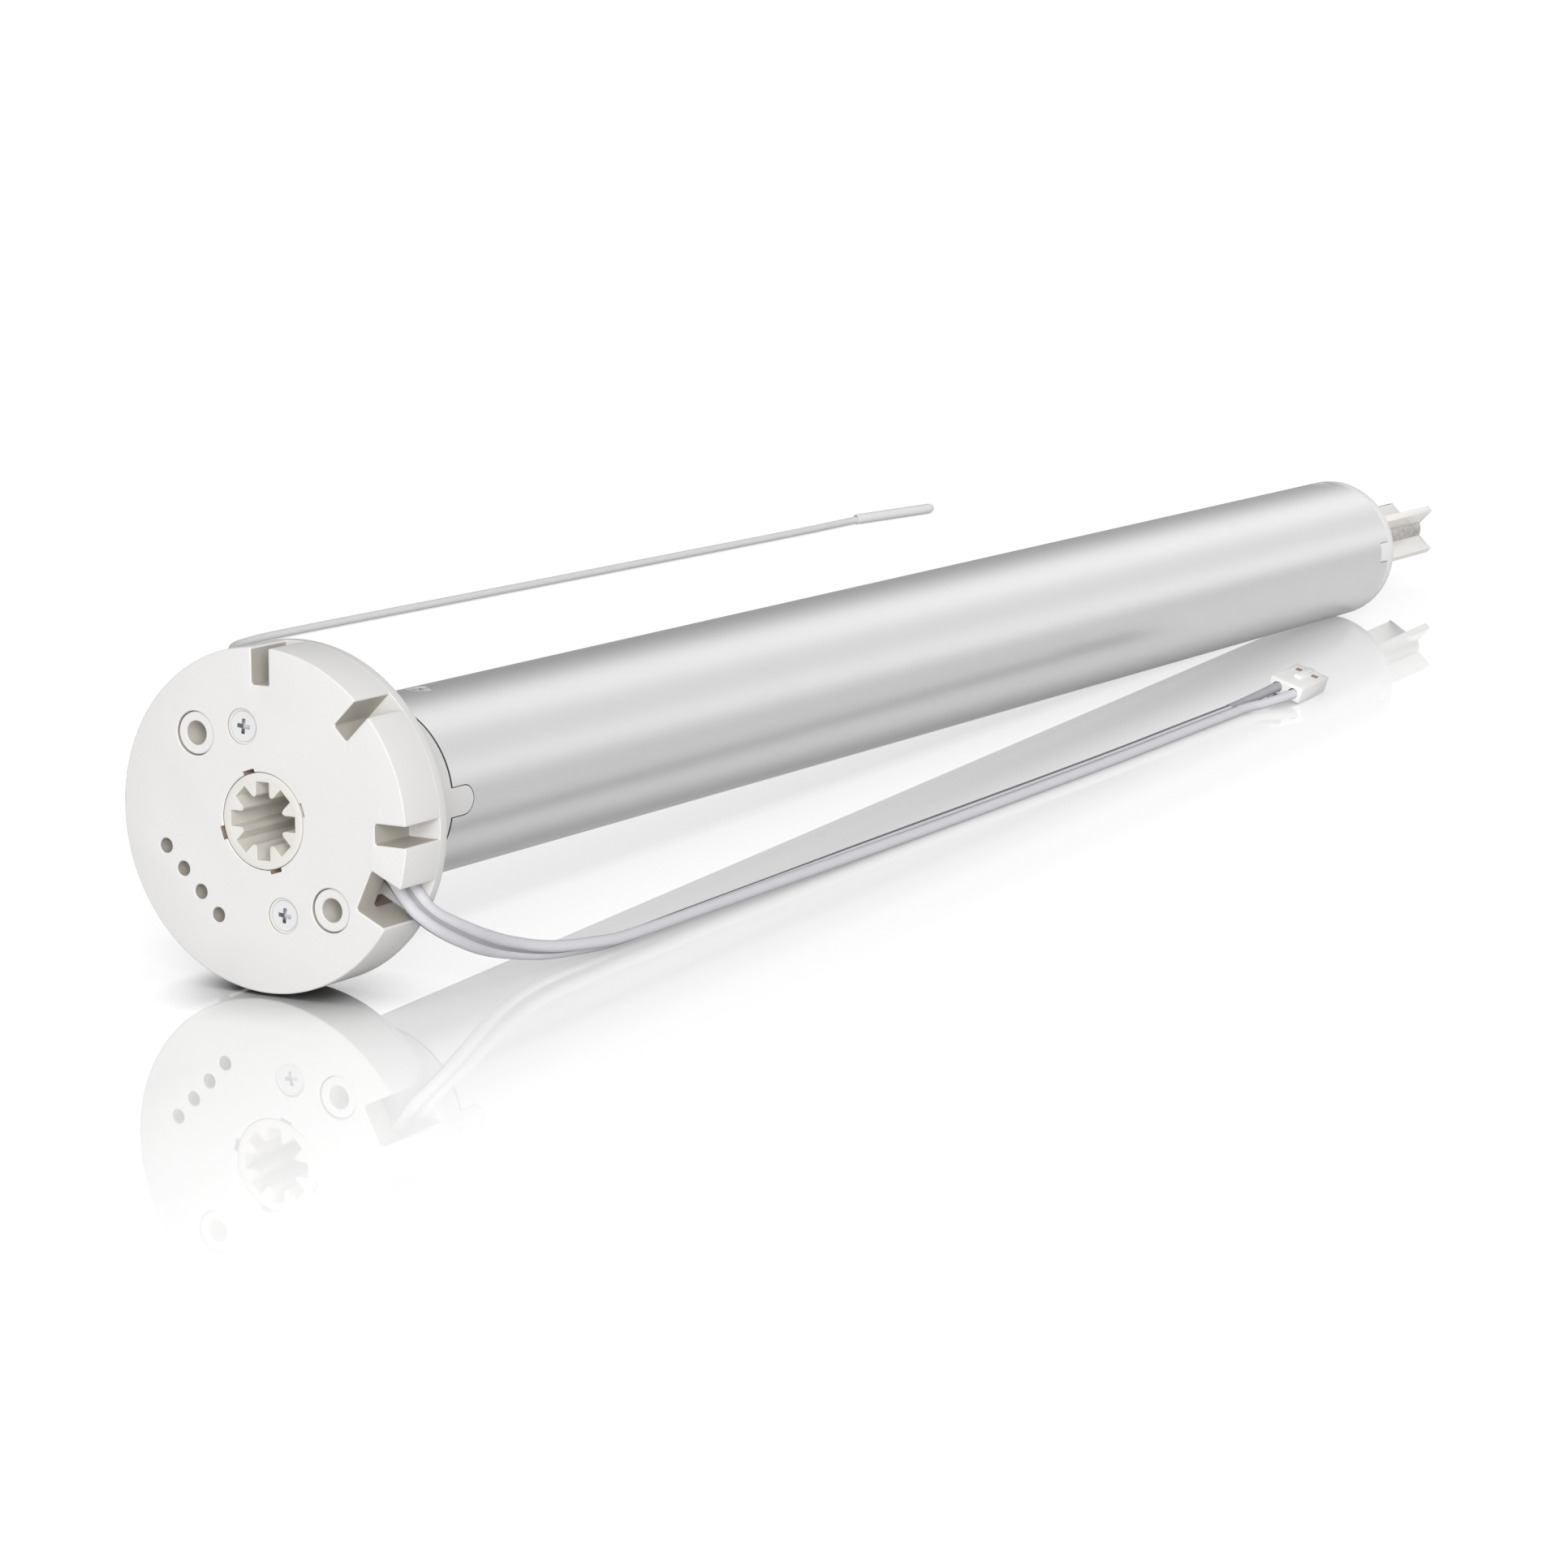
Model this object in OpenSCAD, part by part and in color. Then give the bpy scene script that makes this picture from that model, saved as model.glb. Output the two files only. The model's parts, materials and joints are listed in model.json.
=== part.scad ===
// Tubular roller blind motor: a round head with a splined bracket socket, a
// straight aluminium tube and a cross shaped output shaft, with its whole drive
// train, its electronics and its two leads.
// The motor is built along its own axis and then laid down, so that it rests on
// the rim of its head and on the far end of its tube. The origin is the centre
// of the head's front face.

/* [Head] */
// Diameter of the head
head_d = 50; // [46:0.5:60]
// Depth of the head cover
cover_t = 8.3; // [7.5:0.1:12]
// Thickness of the cover's front wall
front_wall = 2.2; // [1.6:0.1:3]
// Thickness of the cover's rim
rim_wall = 2.4; // [1.6:0.1:3.4]
// Rounding of the cover's front edge
edge_r = 0.6; // [0.2:0.1:1.2]
// Thickness of the flange behind the cover
flange_t = 1.9; // [1.5:0.1:4]
// Length of the collar between the flange and the tube
collar_len = 17; // [14:0.2:24]
// Length of the plug that sits in the tube
plug_len = 20; // [14:1:26]
// Wall of the collar and of the plug
collar_wall = 2; // [1.5:0.1:2.4]

/* [Rim slots] */
// Width of a locking slot
slot_w = 3; // [2:0.1:4]
// Distance of a slot's floor from the axis
slot_floor_r = 19.6; // [18.8:0.1:22]
// Angle between the locking slots
slot_step = 45; // [40:1:50]
// Wall round each slot
slot_wall = 1.4; // [1:0.1:1.6]
// Width of the slot that lets the power lead out
lead_slot_w = 6.4; // [5.5:0.1:6.8]
// Place of the lead's slot round the head, clockwise from the top
lead_clock = 115; // [114:1:116]

/* [Front face] */
// Diameter of the circle through the two bracket screw posts
bracket_circle_d = 33.2; // [32:0.2:34]
// Outer diameter of a bracket screw post
post_d = 6.2; // [5.4:0.1:6.6]
// Bore of a bracket screw post
post_bore = 3.5; // [2.5:0.1:4]
// Diameter of the circle through the two cover screws
cover_screw_circle_d = 27.6; // [27:0.1:28]
// Place of the first cover screw round the head
cover_screw_clock = -14; // [-18:1:-12]
// Diameter of the small holes in a row
row_hole_d = 2.2; // [1:0.1:3]
// Spacing of the small holes
row_pitch = 4.35; // [4:0.05:4.6]
// Distance of the row of small holes from the axis
row_offset = 16; // [15.4:0.1:16.6]

/* [Spline socket] */
// Outer diameter of the socket
socket_d = 14; // [13.4:0.1:14.6]
// Diameter at the floor of the grooves
groove_d = 11.5; // [10.5:0.1:12]
// Diameter at the tips of the teeth
tooth_d = 7.5; // [6.5:0.1:8.5]
// Width of a groove
groove_w = 2.25; // [1.8:0.05:2.5]
// Number of grooves
groove_n = 8; // [6:1:9]
// Depth of the socket
socket_depth = 16; // [12:0.5:22]

/* [Tube] */
// Outer diameter of the tube
tube_d = 28; // [27.6:0.1:30]
// Wall of the tube
tube_wall = 1; // [0.8:0.05:1.2]
// Length of the tube
tube_len = 337.4; // [330:0.2:400]
// Gap between the tube and what sits in it
fit_gap = 0.1; // [0.05:0.01:0.2]

/* [Drive end] */
// Thickness of the end ring outside the tube
ring_t = 2.7; // [1.5:0.1:5]
// Length of the end ring inside the tube
spigot_len = 18; // [14:0.5:22]
// Diameter of the output shaft's journal
journal_d = 13.4; // [13.2:0.1:14]
// Length of the output shaft beyond the end ring
shaft_out = 40.7; // [30:0.1:60]
// Reach of the shaft's arms from the axis
arm_r = 6.5; // [5.5:0.1:6.6]
// Thickness of the shaft's arms
arm_t = 1.5; // [1:0.1:2.4]
// Diameter of the shaft's core
core_d = 5.6; // [4:0.1:7]

/* [Gearbox] */
// Teeth on each sun gear and on each planet gear
gear_z = 15; // [15:6:21]
// Wall of the gear case behind its teeth
case_wall = 1.6; // [1.4:0.05:1.9]
// Play between two meshing teeth, along the pitch circle
backlash = 0.14; // [0.12:0.01:0.16]
// Diameter of the planet pins
planet_pin_d = 2.5; // [2:0.1:3]
// Thickness of the planet carriers
carrier_t = 3.4; // [2.5:0.1:4]

/* [Motor] */
// Thickness of the rubber rings between the motor can and the tube
damper_t = 0.7; // [0.6:0.05:0.9]
// Length of the motor can
can_len = 52; // [44:1:56]
// Diameter of the motor shaft
rotor_shaft_d = 3; // [2.5:0.1:3.2]
// Length of the brake
brake_len = 22; // [20:0.5:26]

/* [Electronics] */
// Width of the circuit board
board_w = 20; // [16:0.5:20.5]
// Length of the circuit board
board_len = 120; // [108:1:126]
// Thickness of the circuit board
board_t = 1.2; // [0.8:0.1:1.6]

/* [Leads] */
// Width of the flat power lead
lead_w = 4; // [3.6:0.1:4.2]
// Thickness of the flat power lead
lead_t = 1.8; // [1.6:0.1:2.2]
// Diameter of the antenna wire
antenna_d = 1.7; // [1.2:0.1:2]
// Diameter of the sleeve at the antenna's tip
sleeve_d = 2.4; // [2.2:0.1:3]
// Length of the plug's housing
plug_l = 14; // [12:0.2:18]
// Width of the plug's housing
plug_w = 6.8; // [6.6:0.1:8]
// Height of the plug's housing
plug_h = 3; // [2.8:0.1:4]
// Spacing of the plug's two contacts
plug_pitch = 3.3; // [2.8:0.1:3.4]

/* [Hidden] */
$fn = 64;
// A sliver that joins solids, the play of a light fit, and how far a cut runs past a face
eps = 0.01;
gap = 0.05;
cut = 1;

// Places along the axis, from the head's front face
flange_x = cover_t;
collar_x = flange_x + flange_t;
tube_x = collar_x + collar_len;
tube_end = tube_x + tube_len;
ring_end = tube_end + ring_t;
shaft_end = ring_end + shaft_out;
plug_end = tube_x + plug_len;
spigot_x = tube_end - spigot_len;

// Radii and diameters that follow from the tube
tube_id = tube_d - 2 * tube_wall;
inner_d = tube_id - 2 * fit_gap;
// The motor leans so that the head's rim and the tube's far end both touch
lean = atan((head_d - tube_d) / 2 / (ring_end - collar_x));
floor_z = -(head_d / 2 * cos(lean) + collar_x * sin(lean));

// Laying the motor down, and working along its axis
module lay() rotate([0, lean, 0]) children();
module on_axis(x) lay() translate([x, 0, 0]) rotate([0, 90, 0]) children();
// Turns the local x axis to a clock angle, seen from the front of the head
module clock(a) rotate([0, 0, a + 180]) children();
// Points the local z axis outwards at a clock angle, at a place along the axis
module radial(a, x = 0) clock(a) translate([0, 0, x]) rotate([0, 90, 0]) children();
module ring(d_out, d_in, h) difference() {
  cylinder(d = d_out, h = h);
  translate([0, 0, -cut]) cylinder(d = d_in, h = h + 2 * cut);
}

// Head
pocket_r = head_d / 2 - rim_wall;
lead_slot_r = slot_floor_r - 0.2;
socket_gap = 0.1;
post_gap = 0.15;
post_set_back = 0.3;
screw_d = 2.8;
screw_head_d = 4.4;
screw_head_t = 1.3;
recess_t = 0.4;
screw_gap = 0.1;
screw_recess_d = screw_head_d + 8 * screw_gap;
screw_len = 9.5;
boss_d = 5.6;
notch_w = 2;
notch_reach = 0.6;
notch_clock = -18;
row_clock = -135;
lead_gap = 0.25;
lead_centre_x = flange_x - gap - lead_w / 2;
lead_exit_clock = lead_clock - 5;
row_from = -1;
row_to = 2;

module post_places() for (a = [-45, 135]) clock(a) translate([bracket_circle_d / 2, 0, 0]) children();
module cover_screw_places()
  for (a = [0, 180]) clock(cover_screw_clock + a) translate([cover_screw_circle_d / 2, 0, 0]) children();

// A slot as a block that runs outwards from its floor, widened by its wall
module slot_block(floor_r, w, wall = 0)
  translate([floor_r - wall, -w / 2 - wall, 0]) square([head_d, w + 2 * wall]);
module rim_slots_2d(wall = 0) {
  for (k = [0 : 2]) clock(k * slot_step) slot_block(slot_floor_r, slot_w, wall);
  clock(lead_clock) slot_block(lead_slot_r, lead_slot_w, wall);
}
module cover_pocket_2d() difference() {
  circle(r = pocket_r);
  rim_slots_2d(slot_wall);
  circle(d = socket_d + 2 * socket_gap + 2 * slot_wall + 2 * notch_reach);
}
module edge_round_disc(d, h, r) rotate_extrude() difference() {
  square([d / 2, h]);
  difference() {
    translate([d / 2 - r, -eps]) square([r + cut, r + eps]);
    translate([d / 2 - r, r]) circle(r = r, $fn = 32);
  }
}

module head_cover() color("#f4f3f0") on_axis(0) difference() {
  edge_round_disc(head_d, cover_t, edge_r);
  translate([0, 0, front_wall]) linear_extrude(cover_t) cover_pocket_2d();
  translate([0, 0, -cut]) linear_extrude(cover_t + 2 * cut) rim_slots_2d();
  translate([0, 0, -cut]) cylinder(d = socket_d + 2 * socket_gap, h = cover_t + 2 * cut);
  for (k = [0 : 3]) clock(notch_clock + 90 * k) translate([0, -notch_w / 2, -cut])
    cube([socket_d / 2 + notch_reach, notch_w, cover_t + 2 * cut]);
  post_places() translate([0, 0, -cut]) cylinder(d = post_d + 2 * post_gap, h = cover_t + 2 * cut);
  cover_screw_places() {
    translate([0, 0, -cut]) cylinder(d = screw_d + 2 * screw_gap, h = cover_t);
    translate([0, 0, -cut]) cylinder(d = screw_recess_d, h = cut + recess_t);
    translate([0, 0, recess_t - eps])
      cylinder(d1 = screw_head_d + 2 * gap, d2 = screw_d + 2 * screw_gap, h = screw_head_t);
  }
  // The row of four small holes, at the lower left
  clock(row_clock) for (k = [row_from : row_to])
    translate([row_offset, k * row_pitch, -cut]) cylinder(d = row_hole_d, h = front_wall + 2 * cut);
  // Behind a narrow strip the slot's floor is open, and the lead comes out there
  clock(lead_clock) translate([lead_slot_r - slot_wall - cut, -lead_slot_w / 2,
    lead_centre_x - lead_w / 2 - gap])
    cube([slot_wall + 2 * cut, lead_slot_w, cover_t]);
}

sleeve_wall = 1.3;
sleeve_end = 15.2;
wire_d = 1.8;
wire_r = (socket_d / 2 + socket_gap + sleeve_wall + tube_d / 2 - collar_wall) / 2;
wire_hole_d = wire_d + 2 * lead_gap;
wire_spread = 8;
antenna_clock = -110;
antenna_set_back = 7.8;
antenna_x = collar_x + antenna_set_back;
tab_w = 4.3;
tab_len = 5.2;
tab_clock = 91;
tab_gap = 0.15;
tab_t = 1.6;
tube_screw_inset = 11.3;
tube_screw_x = tube_x + tube_screw_inset;
tube_screw_d = 2.4;
tube_screw_head_d = 4;
tube_screw_head_t = 0.8;
tube_screw_sink = 0.1;
tube_screw_tip_gap = 0.65;
// The saddle that holds the lead, its foot beside the lead, and its screw
clamp_r = 15;
clamp_w = 4;
clamp_wall = 1.2;
clamp_over = lead_centre_x - lead_w / 2 - gap;
clamp_face = front_wall + 2 * gap;
clamp_boss_x = lead_centre_x;
clamp_boss_d = 4.4;
clamp_screw_d = 2;
clamp_screw_head_d = 3.6;
clamp_screw_head_t = 0.9;
clamp_screw_len = 4.5;
clamp_boss_y = -(lead_t / 2 + clamp_wall + clamp_boss_d / 2);

// A tongue that points along the tube, with a round or a square tip
module tongue(w, len, r_out, deep, round_tip = true) intersection() {
  union() {
    translate([r_out - deep, -w / 2, 0]) cube([deep, w, round_tip ? len - w / 2 : len]);
    if (round_tip) translate([r_out - deep, 0, len - w / 2]) rotate([0, 90, 0]) cylinder(d = w, h = deep);
  }
  translate([0, 0, -len]) cylinder(r = r_out, h = 3 * len);
}
module tongue_cut(w, len, round_tip = true) {
  translate([tube_id / 2 - cut, -w / 2, -cut])
    cube([tube_wall + 3 * cut, w, cut + (round_tip ? len - w / 2 : len)]);
  if (round_tip) translate([tube_id / 2 - cut, 0, len - w / 2]) rotate([0, 90, 0])
    cylinder(d = w, h = tube_wall + 3 * cut);
}

module head_body() color("#f0efec") on_axis(0) difference() {
  union() {
    translate([0, 0, flange_x]) cylinder(d = head_d, h = flange_t);
    translate([0, 0, collar_x - eps]) cylinder(d = tube_d, h = collar_len + eps);
    translate([0, 0, tube_x - eps]) cylinder(d = inner_d, h = plug_len + eps);
    post_places() translate([0, 0, post_set_back])
      cylinder(d = post_d, h = flange_x - post_set_back + eps);
    cover_screw_places() translate([0, 0, front_wall + gap])
      cylinder(d = boss_d, h = flange_x - front_wall);
    clock(tab_clock) translate([0, 0, tube_x - eps]) tongue(tab_w, tab_len, tube_d / 2, tab_t);
    clamp_boss_place() cylinder(d = clamp_boss_d, h = flange_x - clamp_boss_x + eps);
  }
  // The hollow of the collar and of the plug, round the socket's sleeve
  translate([0, 0, collar_x])
    ring(tube_d - 2 * collar_wall, socket_d + 2 * socket_gap + 2 * sleeve_wall, sleeve_end - collar_x);
  translate([0, 0, sleeve_end - eps])
    cylinder(d = tube_d - 2 * collar_wall, h = tube_x - collar_wall - sleeve_end + eps);
  translate([0, 0, tube_x - collar_wall - eps])
    cylinder(d = inner_d - 2 * collar_wall, h = plug_len + collar_wall + cut);
  translate([0, 0, flange_x - cut]) cylinder(d = socket_d + 2 * socket_gap, h = sleeve_end);
  post_places() translate([0, 0, -cut]) cylinder(d = post_bore, h = collar_x + 2 * cut);
  cover_screw_places() translate([0, 0, -cut])
    cylinder(d = screw_d + 2 * screw_gap, h = screw_len + 2 * cut);
  clamp_boss_place() translate([0, 0, -cut])
    cylinder(d = clamp_screw_d + 2 * screw_gap, h = clamp_screw_len);
  for (s = [-1, 1]) clock(lead_exit_clock + s * wire_spread) translate([wire_r, 0, flange_x - cut])
    cylinder(d = wire_hole_d, h = flange_t + 2 * cut);
  radial(antenna_clock, antenna_x) translate([0, 0, tube_d / 2 - collar_wall - cut])
    cylinder(d = antenna_d + 2 * lead_gap, h = collar_wall + 2 * cut);
  radial(0, tube_screw_x) translate([0, 0, inner_d / 2 - collar_wall - cut])
    cylinder(d = tube_screw_d + 2 * screw_gap, h = collar_wall + 2 * cut);
}

module clamp_boss_place() clock(lead_exit_clock) translate([clamp_r, clamp_boss_y, clamp_boss_x])
  children();
module clamp_block(y0, y1, x0, x1)
  translate([clamp_r - clamp_w / 2, y0, x0]) cube([clamp_w, y1 - y0, x1 - x0]);

module cable_clamp() color("#dcdbd6") on_axis(0) difference() {
  clock(lead_exit_clock) {
    side = lead_t / 2 + gap;
    clamp_block(-side - clamp_wall, side + clamp_wall, clamp_face, clamp_over);
    clamp_block(side, side + clamp_wall, clamp_face, flange_x - gap);
    clamp_block(-side - clamp_wall, -side, clamp_face, clamp_boss_x - gap);
    clamp_block(clamp_boss_y - clamp_boss_d / 2, -side, clamp_boss_x - clamp_wall, clamp_boss_x - gap);
  }
  clamp_boss_place() translate([0, 0, -clamp_wall - cut])
    cylinder(d = clamp_screw_d + 2 * screw_gap, h = clamp_wall + 2 * cut);
}

socket_set_back = 0.1;
socket_edge_r = 0.3;
socket_flange_w = 1;
socket_floor_t = 1.4;
module spline_socket() color("#e6e4de") on_axis(0) difference() {
  union() {
    translate([0, 0, socket_set_back]) edge_round_disc(socket_d, sleeve_end + gap, socket_edge_r);
    translate([0, 0, sleeve_end + gap])
      cylinder(d = socket_d + 2 * socket_flange_w, h = socket_depth + socket_floor_t - sleeve_end);
  }
  translate([0, 0, -cut]) linear_extrude(socket_depth + cut) {
    circle(d = tooth_d);
    intersection() {
      circle(d = groove_d);
      for (k = [0 : groove_n - 1]) clock(k * 360 / groove_n) translate([0, -groove_w / 2])
        square([groove_d, groove_w]);
    }
  }
}

// A countersunk screw with a cross recess; its head's face is at z = 0.
// The recess is a share of the head, as the sizes of drivers are
driver_reach = 0.64;
driver_width = 0.16;
driver_depth = 0.7;
driver_clock = 20;
module cross_screw(head, head_t, d, len) difference() {
  union() {
    cylinder(d1 = head, d2 = d, h = head_t);
    cylinder(d = d, h = len);
  }
  for (a = [0, 90]) rotate([0, 0, a + driver_clock])
    translate([-head * driver_reach / 2, -head * driver_width / 2, -cut])
      cube([head * driver_reach, head * driver_width, cut + head_t * driver_depth]);
}
module head_screws() color("#c9ccd1") on_axis(0) {
  cover_screw_places() translate([0, 0, recess_t])
    cross_screw(screw_head_d, screw_head_t, screw_d, screw_len);
  clamp_boss_place() translate([0, 0, -clamp_wall - clamp_screw_head_t]) {
    cylinder(d = clamp_screw_head_d, h = clamp_screw_head_t - gap);
    cylinder(d = clamp_screw_d, h = clamp_screw_len);
  }
}

// Tube
ring_tab_w = 3.8;
ring_tab_len = 3.6;
ring_tab_clock = 88;
ring_screw_inset = 3.6;
ring_screw_x = tube_end - ring_screw_inset;
ring_edge_r = 0.4;
module screw_hole() {
  translate([0, 0, tube_id / 2 - cut])
    cylinder(d = tube_screw_d + 2 * screw_gap, h = tube_wall + 2 * cut);
  translate([0, 0, tube_d / 2 - tube_screw_head_t])
    cylinder(d1 = tube_screw_d + 2 * screw_gap, d2 = tube_screw_head_d + 4 * screw_gap,
      h = tube_screw_head_t + tube_screw_sink);
}
module housing_tube() color("#c6c7c9") on_axis(0) difference() {
  translate([0, 0, tube_x]) ring(tube_d, tube_id, tube_len);
  clock(tab_clock) translate([0, 0, tube_x]) tongue_cut(tab_w + 2 * tab_gap, tab_len + tab_gap);
  clock(ring_tab_clock) translate([0, 0, tube_end]) mirror([0, 0, 1])
    tongue_cut(ring_tab_w + 2 * tab_gap, ring_tab_len + tab_gap, false);
  radial(0, tube_screw_x) screw_hole();
  radial(0, ring_screw_x) screw_hole();
}
module tube_screws() color("#c9ccd1") on_axis(0) {
  for (x = [tube_screw_x, ring_screw_x]) radial(0, x) translate([0, 0, tube_d / 2 - tube_screw_sink])
    mirror([0, 0, 1])
    cross_screw(tube_screw_head_d, tube_screw_head_t, tube_screw_d, tube_screw_len);
}

// Drive end
bush_wall = 2.2;
bush_gap = 0.15;
bush_id = journal_d + 2 * bush_gap;
bush_od = bush_id + 2 * bush_wall;
bush_set_back = 0.5;
// The tube's screws end short of the bush
tube_screw_len = (tube_d - bush_od) / 2 - tube_screw_sink - tube_screw_tip_gap;
washer_t = 0.8;
washer_gap = 0.6;
module drive_end_ring() color("#f0efec") on_axis(0) difference() {
  union() {
    translate([0, 0, spigot_x]) cylinder(d = inner_d, h = spigot_len + eps);
    translate([0, 0, ring_end]) mirror([0, 0, 1]) edge_round_disc(tube_d, ring_t, ring_edge_r);
    clock(ring_tab_clock) translate([0, 0, tube_end + eps]) mirror([0, 0, 1])
      tongue(ring_tab_w, ring_tab_len, tube_d / 2, tab_t, false);
  }
  translate([0, 0, spigot_x - cut]) cylinder(d = bush_od + 2 * gap, h = spigot_len + ring_t + 2 * cut);
  radial(0, ring_screw_x) translate([0, 0, bush_od / 2 - cut])
    cylinder(d = tube_screw_d + 2 * screw_gap, h = inner_d);
}
module output_bush() color("#b08d57") on_axis(0) translate([0, 0, spigot_x])
  ring(bush_od, bush_id, spigot_len + ring_t - bush_set_back);
module thrust_washer() color("#ded9c8") on_axis(0)
  translate([0, 0, spigot_x - washer_t - gap])
    ring((ring_z - 2 * addendum) * gear_m - 2 * washer_gap, bush_id + 2 * gap, washer_t);

// Planetary gear train of three equal ratios, between the sun, the planets and
// the toothed bore of the case
ring_z = 3 * gear_z;
addendum = 0.8;
dedendum = 1.05;
pressure_angle = 20;
gear_m = (inner_d / 2 - case_wall) / (ring_z / 2 + dedendum);
planet_r = gear_z * gear_m;
planet_w = [7, 8, 11];
pin_wall = 1.5;
carrier_d = 2 * planet_r + planet_pin_d + 2 * pin_wall;
planet_to_carrier = 0.6;
carrier_to_planet = 1.2;
end_play = 0.3;
pin_play = 0.1;
pin_proud = 0.4;
out_face = spigot_x - washer_t - gap - end_play;
function stage_len(i) = carrier_t + planet_to_carrier + planet_w[i] + carrier_to_planet;
function carrier_face(i) = i == 2 ? out_face : carrier_face(i + 1) - stage_len(i + 1);
function planet_x(i) = carrier_face(i) - carrier_t - planet_to_carrier - planet_w[i];
gearbox_x = planet_x(0) - carrier_to_planet;
plate_t = 4;
plate_x = gearbox_x - plate_t;
plate_gap = 1.2;
// Steps of the shaft: the stub in its carrier, its shoulder in the bush and its core's end
stub_step = 2;
stub_d = journal_d - 2 * stub_step;
shoulder_set_back = 0.8;
core_set_back = 0.6;
shoulder_x = ring_end - shoulder_set_back;

function inv(a) = tan(a) * 180 / PI - a;
function half_tooth(r, z, play) =
  let (rp = z * gear_m / 2, rb = rp * cos(pressure_angle), at = acos(min(1, rb / max(r, rb))))
  90 / z + inv(pressure_angle) - inv(at) + play / 2 / rp * 180 / PI;
function flank(z, r0, r1, play) = [for (k = [0 : 4])
  let (r = r0 + (r1 - r0) * k / 4) [r, half_tooth(r, z, play)]];
function gear_points(z, up, down, play) =
  let (rp = z * gear_m / 2, side = flank(z, rp - down * gear_m, rp + up * gear_m, play))
  [for (t = [0 : z - 1])
    for (p = concat([for (k = [0 : 4]) [side[k][0], -side[k][1]]], [for (k = [4 : -1 : 0]) side[k]]))
      p[0] * [cos(t * 360 / z + p[1]), sin(t * 360 / z + p[1])]];
module gear(h, bore) linear_extrude(h) difference() {
  polygon(gear_points(gear_z, addendum, dedendum, -backlash / 2));
  circle(d = bore);
}

module gear_case() color("#8d9096") on_axis(gearbox_x) difference() {
  cylinder(d = inner_d, h = spigot_x - gearbox_x - gap);
  translate([0, 0, -cut]) linear_extrude(spigot_x - gearbox_x + 2 * cut)
    polygon(gear_points(ring_z, dedendum, addendum, backlash / 2));
}
module gearbox_plate() color("#9a9da3") on_axis(plate_x)
  ring(inner_d, gear_z * gear_m + 2 * plate_gap, plate_t - gap);

module planet(stage, k) color("#e9e4d4") on_axis(planet_x(stage)) rotate([0, 0, 120 * k])
  translate([planet_r, 0, 0]) gear(planet_w[stage], planet_pin_d + 2 * pin_play);
module planet_pins(stage) color("#b9bcc2") on_axis(planet_x(stage) - pin_proud)
  for (k = [0 : 2]) rotate([0, 0, 120 * k]) translate([planet_r, 0, 0])
    cylinder(d = planet_pin_d, h = carrier_face(stage) - planet_x(stage) + pin_proud);
module carrier(stage, bore) on_axis(carrier_face(stage) - carrier_t) difference() {
  cylinder(d = carrier_d, h = carrier_t);
  for (k = [0 : 2]) rotate([0, 0, 120 * k]) translate([planet_r, 0, -cut])
    cylinder(d = planet_pin_d + 2 * gap, h = carrier_t + 2 * cut);
  translate([0, 0, -cut]) cylinder(d = bore, h = carrier_t + 2 * cut);
}
hub_d = 4;
hub_bore = 1;
hub_set_back = 0.3;
sun_proud = 0.3;
// A sun gear with a hub that is pressed into the carrier behind it
module sun_on_carrier(stage) color("#d8d2c0") {
  on_axis(carrier_face(stage - 1))
    gear(planet_x(stage) + planet_w[stage] + sun_proud - carrier_face(stage - 1), hub_bore);
  on_axis(carrier_face(stage - 1) - carrier_t + hub_set_back) ring(hub_d, hub_bore, carrier_t);
}
module planet_1_a() planet(0, 0);
module planet_1_b() planet(0, 1);
module planet_1_c() planet(0, 2);
module planet_2_a() planet(1, 0);
module planet_2_b() planet(1, 1);
module planet_2_c() planet(1, 2);
module planet_3_a() planet(2, 0);
module planet_3_b() planet(2, 1);
module planet_3_c() planet(2, 2);
module planet_pins_1() planet_pins(0);
module planet_pins_2() planet_pins(1);
module planet_pins_3() planet_pins(2);
module carrier_1() color("#cfc9b8") carrier(0, hub_d + 2 * gap);
module carrier_2() color("#a9acb2") carrier(1, hub_d + 2 * gap);
module output_carrier() color("#a9acb2") carrier(2, stub_d + 2 * gap);
module sun_gear_1() color("#c2a25a") on_axis(planet_x(0) - sun_proud)
  gear(planet_w[0] + 2 * sun_proud, rotor_shaft_d + 2 * gap);
module sun_gear_2() sun_on_carrier(1);
module sun_gear_3() sun_on_carrier(2);

module output_shaft() color("#b5b2aa") on_axis(0) {
  translate([0, 0, out_face - carrier_t + pin_proud]) cylinder(d = stub_d, h = carrier_t + eps);
  translate([0, 0, out_face]) cylinder(d = journal_d, h = shoulder_x - out_face);
  translate([0, 0, shoulder_x - eps]) {
    cylinder(d = core_d, h = shaft_out + shoulder_set_back - core_set_back);
    linear_extrude(shaft_out + shoulder_set_back + eps) intersection() {
      for (a = [45, 135]) rotate(a) square([2 * arm_r + cut, arm_t], center = true);
      circle(r = arm_r);
    }
  }
}

// Brake and motor, in front of the gearbox
drum_bore_d = 17;
drum_floor_t = 2.5;
drum_hole_d = 8;
spring_wire = 1.2;
spring_play = 0.25;
spring_d = drum_bore_d - 2 * spring_play;
spring_turns = 5;
seat_gap = 0.1;
brake_x = plate_x - brake_len - seat_gap;
module brake_drum() color("#6f737a") on_axis(brake_x) difference() {
  cylinder(d = inner_d, h = brake_len);
  translate([0, 0, drum_floor_t]) cylinder(d = drum_bore_d, h = brake_len);
  translate([0, 0, -cut]) cylinder(d = drum_hole_d, h = brake_len);
}
hub_play = 0.2;
rim_play = 0.4;
rim_t = 1.6;
hub_gap = 0.7;
hub_end_gap = 1.2;
hub_x = brake_x + drum_floor_t + hub_gap;
hub_len = brake_len - drum_floor_t - hub_gap - hub_end_gap;
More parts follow.
